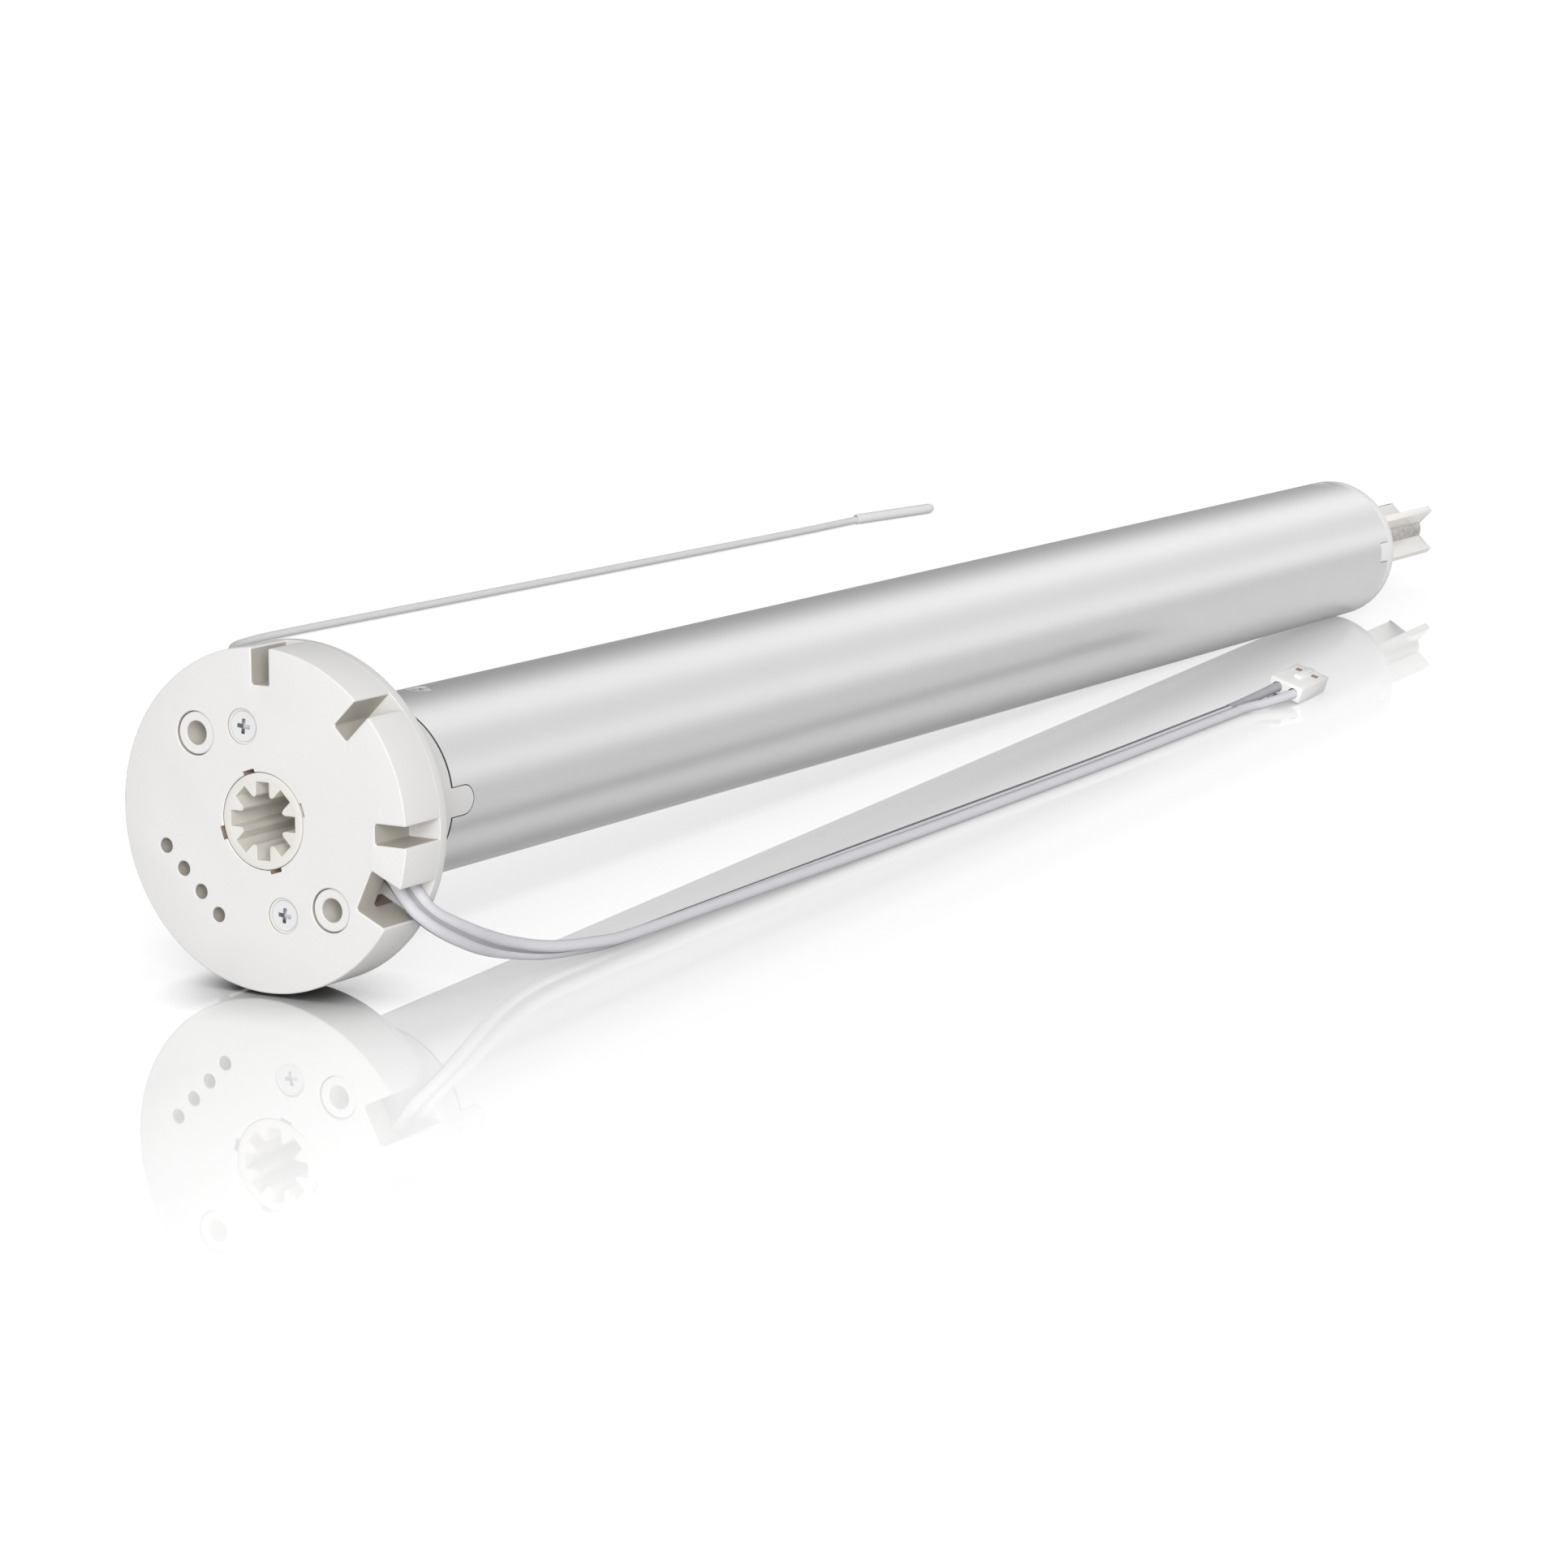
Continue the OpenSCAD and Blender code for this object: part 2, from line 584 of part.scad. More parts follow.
module brake_hub() color("#3b3d42") on_axis(hub_x) difference() {
  union() {
    cylinder(d = spring_d - 2 * spring_wire - 2 * hub_play, h = hub_len);
    for (x = [0, hub_len - rim_t]) translate([0, 0, x])
      cylinder(d = drum_bore_d - 2 * rim_play, h = rim_t);
  }
  translate([0, 0, -cut]) cylinder(d = rotor_shaft_d + 2 * gap, h = brake_len);
}
// One unbroken coil, a little smaller than the drum that it rubs in
function coil_points(r, x0, pitch, turns, steps) =
  [for (k = [0 : turns * steps]) [x0 + pitch * k / steps, r * cos(360 * k / steps),
    r * sin(360 * k / steps)]];
spring_x = hub_x + rim_t + spring_wire / 2 + hub_play;
spring_pitch = (hub_len - 2 * rim_t - spring_wire - 2 * hub_play) / spring_turns;
module brake_spring() color("#8b8f96") lay()
  tube_along(coil_points((spring_d - spring_wire) / 2, spring_x, spring_pitch, spring_turns, 16),
    spring_wire, spring_wire, 6);

can_d = inner_d - 2 * damper_t;
can_x = brake_x - can_len - 2 * seat_gap;
can_wall = 1.2;
nose_d = 10;
nose_len = 2;
bearing_d = 7;
bearing_len = 3.6;
bearing_play = 0.1;
module motor_can() color("#9da1a8") on_axis(can_x) difference() {
  union() {
    cylinder(d = can_d, h = can_len - nose_len);
    translate([0, 0, can_len - nose_len - eps]) cylinder(d = nose_d, h = nose_len);
  }
  translate([0, 0, -cut]) cylinder(d = can_d - 2 * can_wall, h = can_len - nose_len - can_wall + cut);
  translate([0, 0, -cut]) cylinder(d = bearing_d + 2 * gap, h = can_len + 2 * cut);
}
magnet_t = 2.4;
magnet_x = 8;
magnet_end_gap = 6;
magnet_len = can_len - magnet_x - magnet_end_gap;
module motor_magnets() color("#4a4b50") on_axis(can_x + magnet_x) for (a = [0, 180]) rotate([0, 0, a])
  intersection() {
  ring(can_d - 2 * can_wall - 2 * gap, can_d - 2 * can_wall - 2 * magnet_t, magnet_len);
  linear_extrude(magnet_len) polygon([[0, 0], [can_d, -can_d], [can_d, can_d]]);
}
cap_t = 5;
cap_rim_t = 3;
cap_rim_wall = 1.4;
pillar_len = 9;
pillar_d = 2.6;
pillar_inset = 3.6;
module motor_end_cap() color("#2e2f33") on_axis(can_x) difference() {
  union() {
    translate([0, 0, -cap_t]) cylinder(d = can_d, h = cap_t - gap);
    translate([0, 0, -gap - eps])
      ring(can_d - 2 * can_wall - 2 * gap, can_d - 2 * can_wall - 2 * gap - 2 * cap_rim_wall, cap_rim_t);
    for (s = [-1, 1]) translate([0, s * brush_y, -gap - eps]) brush_holder();
    for (a = [0, 120, 240]) rotate([0, 0, a + 30])
      translate([can_d / 2 - pillar_inset, 0, -cap_t - pillar_len])
        cylinder(d = pillar_d, h = pillar_len + eps);
  }
  translate([0, 0, -cap_t - cut]) cylinder(d = bearing_d + 2 * gap, h = cap_t + cap_rim_t + 2 * cut);
}
brush_w = 2.2;
brush_x = 2.2;
commutator_d = 6.4;
brush_gap = 0.2;
brush_len = 3.6;
brush_wall = 0.8;
brush_y = commutator_d / 2 + brush_gap + brush_len / 2 + brush_wall;
module brush_holder() difference() {
  translate([-brush_w / 2 - brush_wall, -brush_len / 2 + brush_wall / 2, 0])
    cube([brush_w + 2 * brush_wall, brush_len, brush_x + brush_w + 2 * brush_wall]);
  translate([-brush_w / 2 - gap, -brush_len, brush_x - gap])
    cube([brush_w + 2 * gap, 2 * brush_len, brush_w + 2 * gap]);
}
module motor_brushes() color("#55504a") on_axis(can_x + brush_x - gap) for (s = [-1, 1])
  translate([-brush_w / 2,
    s > 0 ? commutator_d / 2 + brush_gap : -commutator_d / 2 - brush_gap - brush_len, 0])
    cube([brush_w, brush_len, brush_w]);
module motor_bearings() color("#b08d57") {
  for (x = [can_x + can_len - bearing_len - bearing_inset, can_x - cap_t + bearing_inset])
    on_axis(x) ring(bearing_d, rotor_shaft_d + 2 * bearing_play, bearing_len);
}
bearing_inset = 0.5;
damper_len = 6;
damper_inset = 8;
module motor_dampers() color("#3a3a3c") for (x = [damper_inset, can_len - damper_inset - damper_len])
  on_axis(can_x + x) ring(inner_d, can_d + 2 * gap, damper_len);

sensor_x = can_x - cap_t - pillar_len;
encoder_t = 3;
encoder_d = 9;
encoder_inset = 0.2;
rotor_tail = 6;
rotor_x = can_x - cap_t - rotor_tail;
module rotor_shaft() color("#c4c6ca") on_axis(rotor_x)
  cylinder(d = rotor_shaft_d, h = planet_x(0) + planet_w[0] + sun_proud - rotor_x);
core_front = 14;
core_back = 10;
core_len = can_len - core_front - core_back;
core_x = can_x + core_front;
air_gap = 0.5;
armature_d = can_d - 2 * can_wall - 2 * magnet_t - 2 * air_gap;
armature_poles = 5;
core_hub_r = 3.2;
pole_tip_t = 1.2;
pole_slot_w = 3.4;
pole_mouth_w = 1.2;
module pole_slots_2d() for (k = [0 : armature_poles - 1]) rotate((k + 0.5) * 360 / armature_poles) {
  translate([core_hub_r, -pole_slot_w / 2])
    square([armature_d / 2 - core_hub_r - pole_tip_t, pole_slot_w]);
  translate([core_hub_r, -pole_mouth_w / 2]) square([armature_d, pole_mouth_w]);
}
module armature_core() color("#7d7f85") on_axis(core_x) linear_extrude(core_len) difference() {
  circle(d = armature_d);
  circle(d = rotor_shaft_d + 2 * gap);
  pole_slots_2d();
}
// The winding fills the slots and bulges at both ends of the core
winding_len = 3.15;
winding_inset = 0.8;
winding_play = 0.7;
module armature_windings() color("#b5652d") on_axis(core_x) {
  for (k = [0 : armature_poles - 1]) rotate([0, 0, (k + 0.5) * 360 / armature_poles])
    translate([core_hub_r + gap, -pole_slot_w / 2 + gap, -winding_len / 2])
      cube([armature_d / 2 - core_hub_r - pole_tip_t - 2 * gap, pole_slot_w - 2 * gap,
        core_len + winding_len]);
  for (z = [-winding_len - gap, core_len + gap]) translate([0, 0, z])
    ring(armature_d - 2 * winding_inset, rotor_shaft_d + 2 * winding_play, winding_len);
}
commutator_x = can_x + 1;
commutator_len = 6.5;
segment_gap = 0.3;
segment_t = 0.5;
module commutator() color("#b87333") on_axis(commutator_x) difference() {
  cylinder(d = commutator_d, h = commutator_len);
  translate([0, 0, -cut]) cylinder(d = rotor_shaft_d + 2 * gap, h = commutator_len + 2 * cut);
  for (k = [0 : armature_poles - 1]) rotate([0, 0, k * 360 / armature_poles])
    translate([commutator_d / 2 - segment_t, -segment_gap / 2, -cut])
      cube([segment_t + cut, segment_gap, commutator_len]);
}
module encoder_magnet() color("#57585c") on_axis(rotor_x + encoder_inset)
  ring(encoder_d, rotor_shaft_d + 2 * gap, encoder_t);
// The sensor's board stands on the end cap's pillars, and its chip looks at the magnet's rim
sensor_edge = 2.65;
sensor_hole_d = 4;
sensor_chip_r = 2.6;
sensor_chip_l = 3;
sensor_chip_t = 1.2;
module sensor_board() color("#2f6b3f") on_axis(sensor_x - board_t - gap) {
  ring(inner_d - 2 * sensor_edge, sensor_hole_d, board_t);
  translate([sensor_chip_r, -sensor_chip_l / 2, board_t])
    cube([sensor_chip_t, sensor_chip_l, sensor_chip_l]);
}

// Electronics, on a trough that slides into the tube; the local x points down.
// The board lies as low in the trough as its width allows
cradle_gap = 2;
cradle_end_gap = 1.5;
cradle_x = plug_end + cradle_gap;
cradle_end = sensor_x - board_t - cradle_end_gap;
board_x = cradle_x + (cradle_end - cradle_x - board_len) / 2;
cradle_wall = 1.3;
cradle_rim = 1.2;
rib_w = 1.4;
board_lift = 1.68;
board_top = sqrt(pow(inner_d / 2 - cradle_wall, 2) - pow(board_w / 2, 2)) - board_lift - board_t;
module cradle_2d() {
  difference() {
    circle(d = inner_d);
    circle(d = inner_d - 2 * cradle_wall);
    translate([-inner_d + board_top - cradle_rim, -inner_d]) square([inner_d, 2 * inner_d]);
  }
  intersection() {
    circle(d = inner_d - eps);
    for (s = [-1, 1]) translate([board_top + board_t + gap, s > 0 ? board_w / 2 - rib_w : -inner_d / 2])
      square([rib_w, inner_d / 2 - board_w / 2 + rib_w]);
  }
}
module board_cradle() color("#e8e7e2") on_axis(cradle_x) linear_extrude(cradle_end - cradle_x)
  cradle_2d();
module circuit_board() color("#2f6b3f") on_axis(board_x) translate([board_top, -board_w / 2, 0])
  cube([board_t, board_w, board_len]);

// What stands on the board: lengths along it, widths and heights
terminal_h = 6;
terminal_l = 10;
terminal_w = 9;
terminal_y = -4;
terminal_pitch = 4.2;
terminal_hole = 4;
shield_l = 20;
shield_w = 14;
shield_h = 3;
shield_t = 0.3;
processor_l = 10;
processor_h = 1.6;
memory_l = 6;
memory_w = 5;
memory_h = 1.4;
driver_l = 6.6;
driver_w = 6.4;
driver_h = 2.2;
driver_gap = 2.1;
cap_d = 8;
cap_l = 16;
cap_gap = 1.2;
motor_terminal_l = 8;
motor_terminal_w = 7;
motor_wire_d = 1.2;
motor_wire_pitch = 3;
board_edge = 1.5;
// The items are spread along the board with even spaces between them
board_items = [terminal_l, shield_l, processor_l, memory_l, 2 * driver_l + driver_gap, cap_l,
  motor_terminal_l];
function total(v, n) = n <= 0 ? 0 : v[n - 1] + total(v, n - 1);
board_space =
  (board_len - 2 * board_edge - total(board_items, len(board_items))) / (len(board_items) - 1);
function item_x(i) = board_x + board_edge + total(board_items, i) + i * board_space;
module on_board(x, y, h) on_axis(x) translate([board_top - h, y, 0]) children();
module board_chips() color("#26272b") {
  on_board(item_x(2), -processor_l / 2, processor_h) cube([processor_h, processor_l, processor_l]);
  on_board(item_x(3), -memory_w / 2, memory_h) cube([memory_h, memory_w, memory_l]);
  for (k = [0, 1], y = [-driver_w - driver_gap / 2, driver_gap / 2])
    on_board(item_x(4) + k * (driver_l + driver_gap), y, driver_h) cube([driver_h, driver_w, driver_l]);
}
module board_capacitors() color("#33465f") for (s = [-1, 1])
  on_axis(item_x(5)) translate([board_top - cap_d / 2, s * (cap_d + cap_gap) / 2, 0])
    cylinder(d = cap_d, h = cap_l);
module radio_shield() color("#b9bcc0") on_board(item_x(1), -shield_w / 2, shield_h) difference() {
  cube([shield_h, shield_w, shield_l]);
  translate([shield_t, shield_t, shield_t])
    cube([shield_h, shield_w - 2 * shield_t, shield_l - 2 * shield_t]);
}
// A terminal block, with two wire holes in one end
module terminal(x, y, w, l, pitch, hole_d, hole_x) on_board(x, y - w / 2, terminal_h) difference() {
  cube([terminal_h, w, l]);
  for (s = [-1, 1]) translate([terminal_h / 2, w / 2 + s * pitch / 2, hole_x])
    cylinder(d = hole_d, h = terminal_hole + cut);
}
module board_terminals() color("#e4e3dc") {
  terminal(item_x(0), terminal_y, terminal_w, terminal_l,
    terminal_pitch, wire_d + 2 * bearing_play, -cut);
  terminal(item_x(6), 0, motor_terminal_w, motor_terminal_l,
    motor_wire_pitch, motor_wire_d + 2 * bearing_play,
    motor_terminal_l - terminal_hole);
}

// Cords. A tube runs along a list of points; its thickness stands square to its
// path and its width lies level, unless a list of turns tips it at each point.
function unit(v) = v / norm(v);
function heading(p, i) = unit(p[min(i + 1, len(p) - 1)] - p[max(i - 1, 0)]);
function ring_at(p, i, w, t, sides, turn) =
  let (h = heading(p, i), level = unit(cross(h, [0, 0, 1])), steep = cross(level, h))
  let (side = level * cos(turn) + steep * sin(turn), up = steep * cos(turn) - level * sin(turn))
  [for (k = [0 : sides - 1]) let (a = 360 * (k + 0.5) / sides)
    p[i] + side * w / 2 * cos(a) + up * t / 2 * sin(a)];
module tube_along(p, w, t, sides = 8, turns = []) {
  n = len(p);
  polyhedron(
    points = [for (i = [0 : n - 1]) each ring_at(p, i, w, t, sides, i < len(turns) ? turns[i] : 0)],
    faces = concat(
      [[for (k = [sides - 1 : -1 : 0]) k]],
      [for (i = [0 : n - 2]) for (k = [0 : sides - 1])
        let (a = i * sides + k, b = i * sides + (k + 1) % sides)
          each [[a, b, a + sides], [b, b + sides, a + sides]]],
      [[for (k = [0 : sides - 1]) (n - 1) * sides + k]]));
}
// A point inside the motor, from its place along the axis, its radius and its clock angle
function in_motor(x, r, a) = [x, -r * sin(a), r * cos(a)];

// Inside: the lead's two wires, the antenna's wire and the motor's two wires.
// They are cords, so their bends are chosen by hand and only their ends follow the pieces
lead_end_r = 12.5;
wire_z = -board_top + terminal_h / 2;
wire_seat = 2;
module lead_wire_inside(s) tube_along([
  in_motor(lead_centre_x + s * lead_w / 4, lead_end_r - 0.1, lead_exit_clock),
  in_motor(lead_centre_x + s * lead_w / 4, lead_end_r - 0.9, lead_exit_clock),
  in_motor(lead_centre_x + s * lead_w / 4, lead_end_r - 1.7, lead_exit_clock + s * wire_spread * 0.6),
  in_motor(flange_x - 1.2 + s, wire_r, lead_exit_clock + s * wire_spread),
  in_motor(collar_x + 2, wire_r, lead_exit_clock + s * wire_spread),
  in_motor(collar_x + 9, wire_r - 0.4, lead_exit_clock + s * wire_spread),
  in_motor(tube_x - 3, wire_r - 1.4, lead_exit_clock + s * (wire_spread + 1)),
  in_motor(tube_x + 8, wire_r - 2.6, lead_exit_clock + s * (wire_spread + 4)),
  [plug_end - 2, terminal_y + s * terminal_pitch / 2, wire_z - 1],
  [item_x(0) + wire_seat, terminal_y + s * terminal_pitch / 2, wire_z]], wire_d, wire_d);
module antenna_inside() tube_along([
  in_motor(antenna_x, tube_d / 2 - 0.1, antenna_clock),
  in_motor(antenna_x, tube_d / 2 - collar_wall - 0.8, antenna_clock),
  in_motor(antenna_x + 1.2, wire_r - 0.2, antenna_clock),
  in_motor(antenna_x + 4, wire_r - 1.6, antenna_clock),
  in_motor(tube_x + 4, wire_r - 2, antenna_clock + 10),
  [plug_end + 2, 7, 4 - board_top],
  [item_x(1) - 8, 5.5, 4.4 - board_top],
  [item_x(1) - 2 * lead_gap, 4, -board_top + shield_h / 2]], antenna_d, antenna_d);
module motor_wire(s) tube_along([
  [item_x(6) + motor_terminal_l - terminal_hole + wire_seat / 2, s * motor_wire_pitch / 2, wire_z],
  [item_x(6) + motor_terminal_l + 3, s * motor_wire_pitch / 2, wire_z],
  [cradle_end - 4, 4 * s, 5],
  in_motor(sensor_x - 2, inner_d / 2 - 1.48, -30 * s),
  in_motor(sensor_x + 4, inner_d / 2 - 1.48, -30 * s),
  in_motor(can_x - cap_t - 3, can_d / 2 - 1.73, -28.5 * s),
  in_motor(can_x - cap_t - 0.1, can_d / 2 - 1.73, -28.5 * s)], motor_wire_d, motor_wire_d);
module inner_wires() color("#d9d9dc") lay() {
  lead_wire_inside(-1);
  lead_wire_inside(1);
  antenna_inside();
  motor_wire(-1);
  motor_wire(1);
}

// Outside: the routes are in the final frame, on the surface that the motor lies on
lead_z = -24.4;
lead_route = [
  [6.1, -11.7, -4.4], [6.1, -13.3, -5], [6.1, -14.9, -5.6], [6.1, -16.5, -6.2], [6.1, -18, -7],
  [6.1, -19.4, -8], [6, -20.7, -9.2], [6, -21.9, -10.5], [6.4, -23, -11.9], [7.7, -24, -13.4],
  [9.9, -24.8, -14.9], [12.5, -25.3, -16.3], [15.9, -25.5, -17.9], [20.9, -25.5, -19.8],
  [25.9, -25.9, -21.3], [29.1, -26.5, -22.1], [32.3, -27.2, -22.7], [35.6, -27.8, -23.1],
  [39, -28.4, -23.4], [42.6, -28.9, -23.7], [46.3, -29.2, -23.9], [55, -29.4, -24], [69, -29.4, -24.1],
  [92, -29.7, -24.2], [117, -30, -24.3], [144, -30.3, lead_z], [183, -30.9, lead_z],
  [210, -31.1, lead_z], [232, -30.9, lead_z], [255, -30.8, lead_z]];
// The flat lead twists as it turns down to the surface, and lies flat further on
lead_turns = [
  180, 180, 180, 180, 174, 164, 152, 139, 126, 113, 100, 88, 74, 56, 46, 42, 38, 34, 31, 28, 25, 22, 18, 12, 4];
module power_lead() color("#dfdfe4") tube_along(lead_route, lead_w, lead_t, turns = lead_turns);

// The lead's two wires part before the plug
near_wire = [
  [255.1, -31.9, -24.3], [259, -32.4, -24.3], [263, -33.5, -24.2], [267, -34.9, -23.8],
  [270.3, -35.7, -23.5], [272.2, -35.6, -23.5]];
far_wire = [
  [255.1, -29.7, -24.3], [259, -29.8, -24.2], [263, -30.5, -23.7], [267, -31.9, -22.8],
  [270.1, -32.6, -22.3], [272, -32.4, -22.3]];
module lead_wires() color("#dfdfe4") {
  tube_along(near_wire, wire_d, wire_d);
  tube_along(far_wire, wire_d, wire_d);
}

// The plug lies on one lower edge and on the keying ridge under its other side
ridge_w = 1.2;
ridge_h = 2;
plug_at = [270.4, -36.8, floor_z];
plug_roll = atan(ridge_h / (plug_w - ridge_w));
plug_yaw = 4;
channel_w = 2;
channel_h = 1.7;
channel_z = 1.35;
channel_x = 3;
window_x = 9.6;
window_l = 1.8;
window_w = 1.2;
ridge_inset = 1.5;
rail_x = 5;
rail_w = 1.4;
rail_h = 0.6;
rail_end = 1;
wire_play = 0.15;
contact_l = 8;
contact_x = channel_x + 0.3;
module plug_place() translate(plug_at) rotate([plug_roll, 0, plug_yaw]) children();
module contact_places() for (s = [-1, 1]) translate([0, plug_w / 2 + s * plug_pitch / 2, channel_z])
  children();
module plug_housing() color("#eeeeea") plug_place() difference() {
  union() {
    cube([plug_l, plug_w, plug_h]);
    translate([ridge_inset, plug_w - ridge_w, -ridge_h])
      cube([plug_l - 2 * ridge_inset, ridge_w, ridge_h + eps]);
    translate([rail_x, (plug_w - rail_w) / 2, plug_h - eps])
      cube([plug_l - rail_x - rail_end, rail_w, rail_h]);
  }
  contact_places() {
    translate([-cut, 0, 0]) rotate([0, 90, 0])
      cylinder(d = wire_d + 2 * wire_play, h = channel_x + 2 * cut);
    translate([channel_x, -channel_w / 2, -channel_h / 2]) cube([plug_l, channel_w, channel_h]);
    translate([window_x, -window_w / 2, 0]) cube([window_l, window_w, plug_h]);
  }
}
module plug_contacts() color("#c8a24a") plug_place() contact_places()
  translate([contact_x, -channel_w / 2 + gap, -channel_h / 2 + gap])
    cube([contact_l, channel_w - 2 * gap, channel_h - 2 * gap]);

antenna_z = -24.4;
sleeve_z = -24.1;
sleeve_at = [437.2, 156.05, sleeve_z];
sleeve_yaw = -16.5;
sleeve_len = 25.7;
sleeve_tip = 1.6;
sleeve_bore = 5;
sleeve_wall_t = 0.35;
antenna_route = [
  [17.8, 13.3, -5.4], [17.9, 17, -6.8], [19, 21, -9.8], [22, 25, -14], [26.5, 29.4, -18.6],
  [33, 34.6, -22.2], [41, 41, -24], [50, 48, antenna_z], [70, 63, antenna_z], [95, 80.5, antenna_z],
  [120, 97, antenna_z], [145, 114.5, antenna_z], [168, 131, antenna_z], [186, 144.5, antenna_z],
  [200, 155.5, antenna_z], [211, 165, antenna_z], [218, 172, antenna_z], [222.5, 177.3, antenna_z],
  [226.5, 181.4, antenna_z], [231, 183.6, antenna_z], [237, 184.2, antenna_z], [243, 184, antenna_z],
  [260, 181.6, antenna_z], [290, 177.2, antenna_z], [325, 172, antenna_z], [360, 166.9, antenna_z],
  [395, 161.8, antenna_z], [418, 158.7, antenna_z], [430, 157.4, antenna_z], [436, 156.4, -24.3],
  [441, 154.9, sleeve_z]];
module antenna_lead() color("#ececec") tube_along(antenna_route, antenna_d, antenna_d);
// The sleeve hides the wire's last few millimetres, and its tip is drawn in
module antenna_sleeve() color("#f2f2f2") translate(sleeve_at) rotate([0, 90, sleeve_yaw])
  rotate_extrude() difference() {
  union() {
    square([sleeve_d / 2, sleeve_len - sleeve_tip]);
    polygon([[0, sleeve_len - sleeve_tip - eps], [sleeve_d / 2, sleeve_len - sleeve_tip - eps],
      [sleeve_d / 2 - sleeve_wall_t, sleeve_len - sleeve_tip / 2],
        [sleeve_d / 2 - 2 * sleeve_wall_t, sleeve_len], [0, sleeve_len]]);
  }
  translate([-cut, -cut]) square([antenna_d / 2 + wire_play + cut, sleeve_bore + cut]);
}

head_cover();
head_body();
spline_socket();
head_screws();
cable_clamp();
housing_tube();
tube_screws();
drive_end_ring();
output_bush();
thrust_washer();
output_shaft();
output_carrier();
gear_case();
gearbox_plate();
sun_gear_1();
sun_gear_2();
sun_gear_3();
carrier_1();
carrier_2();
planet_pins_1();
planet_pins_2();
planet_pins_3();
planet_1_a();
planet_1_b();
planet_1_c();
planet_2_a();
planet_2_b();
planet_2_c();
planet_3_a();
planet_3_b();
planet_3_c();
brake_drum();
brake_hub();
brake_spring();
motor_can();
motor_magnets();
motor_end_cap();
motor_brushes();
motor_bearings();
motor_dampers();
rotor_shaft();
armature_core();
armature_windings();
commutator();
encoder_magnet();
sensor_board();
board_cradle();
circuit_board();
board_chips();
board_capacitors();
radio_shield();
board_terminals();
inner_wires();
power_lead();
lead_wires();
plug_housing();
plug_contacts();
antenna_lead();
antenna_sleeve();
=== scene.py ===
# %% [markdown]
# This lesson dresses a tubular roller blind motor: a white head that fits a wall
# bracket, a satin aluminium tube and a cross shaped drive shaft, with a flat power
# lead and a thin antenna lying beside it.
# The construction comes from a CAD model that is loaded as a fixed frame. What the
# eye meets first is modelled again here with fine edges, and every piece that stays
# from the CAD model gets a finish made of shader nodes.

import json
import math

import bmesh
import bpy
from mathutils import Matrix, Vector


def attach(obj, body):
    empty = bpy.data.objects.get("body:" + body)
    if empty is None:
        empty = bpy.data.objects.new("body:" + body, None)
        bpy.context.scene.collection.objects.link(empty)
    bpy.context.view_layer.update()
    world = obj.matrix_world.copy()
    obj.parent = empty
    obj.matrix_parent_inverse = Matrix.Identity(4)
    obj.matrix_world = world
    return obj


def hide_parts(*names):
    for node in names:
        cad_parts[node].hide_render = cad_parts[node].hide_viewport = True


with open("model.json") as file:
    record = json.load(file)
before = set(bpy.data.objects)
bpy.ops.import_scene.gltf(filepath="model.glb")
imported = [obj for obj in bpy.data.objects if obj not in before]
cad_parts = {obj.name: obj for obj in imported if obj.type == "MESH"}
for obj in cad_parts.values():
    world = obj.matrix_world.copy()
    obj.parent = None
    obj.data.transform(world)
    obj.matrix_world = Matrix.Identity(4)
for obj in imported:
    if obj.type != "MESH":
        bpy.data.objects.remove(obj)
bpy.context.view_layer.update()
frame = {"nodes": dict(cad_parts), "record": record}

# %% [markdown]
# The motor is drawn in millimetres along its own axis: x runs from the head's front
# face to the shaft, y points to the viewer's left and z points up. It doesn't lie
# level. It rests on the rim of its wide head and on the far end of its thin tube, so
# one matrix leans it and turns millimetres into metres. Angles round the axis are
# clock angles, seen from the front, with 0 at the top.

# %% Sizes of the motor
head_d = 50
cover_t = 8.3
flange_t = 1.9
collar_len = 17
tube_d = 28
tube_wall = 1
tube_len = 337.4
ring_t = 2.7
shaft_out = 40.7

collar_x = cover_t + flange_t
tube_x = collar_x + collar_len
tube_end = tube_x + tube_len
ring_end = tube_end + ring_t
shaft_end = ring_end + shaft_out

lean = math.atan((head_d - tube_d) / 2 / (ring_end - collar_x))
MM = 0.001
LAY_DOWN = Matrix.Rotation(lean, 4, "Y") @ Matrix.Scale(MM, 4)
floor_z = -(head_d / 2 * math.cos(lean) + collar_x * math.sin(lean))
print(f"The motor leans by {math.degrees(lean):.2f} degrees, and its floor is at {floor_z:.2f} mm")


def clock(angle):
    """Turns the upward direction to a clock angle."""
    return Matrix.Rotation(math.radians(angle), 4, "X")


# %% [markdown]
# The camera comes first, so that every later picture can be set against the
# photograph. Its place was found from the ellipses of the head and the tube. A long
# lens stands far off, which keeps the head and the far shaft in proportion.

# %% Camera
camera_at = Vector((-513.9, -394.9, 119.3))
camera_yaw = 30.97
camera_pitch = -10.03
camera_data = bpy.data.cameras.new("camera")
camera_data.lens = 105.75
camera_data.sensor_width = 36
camera = bpy.data.objects.new("camera", camera_data)
bpy.context.scene.collection.objects.link(camera)
aim = (Matrix.Rotation(math.radians(camera_yaw - 90), 4, "Z")
       @ Matrix.Rotation(math.radians(90 + camera_pitch), 4, "X"))
camera.matrix_world = Matrix.Rotation(lean, 4, "Y") @ Matrix.Translation(camera_at * MM) @ aim
bpy.context.scene.camera = camera
print("Camera at", [round(c, 3) for c in camera.matrix_world.translation])

# %% [markdown]
# A finish is a small tree of shader nodes. Writing every node by hand hides what the
# finish does, so two helpers are made. Signal wraps a socket and lets plain sums on
# it add their own Math nodes. Finish owns one material, adds any other node from its
# type, settings and inputs, and joins the result to a Principled shader.

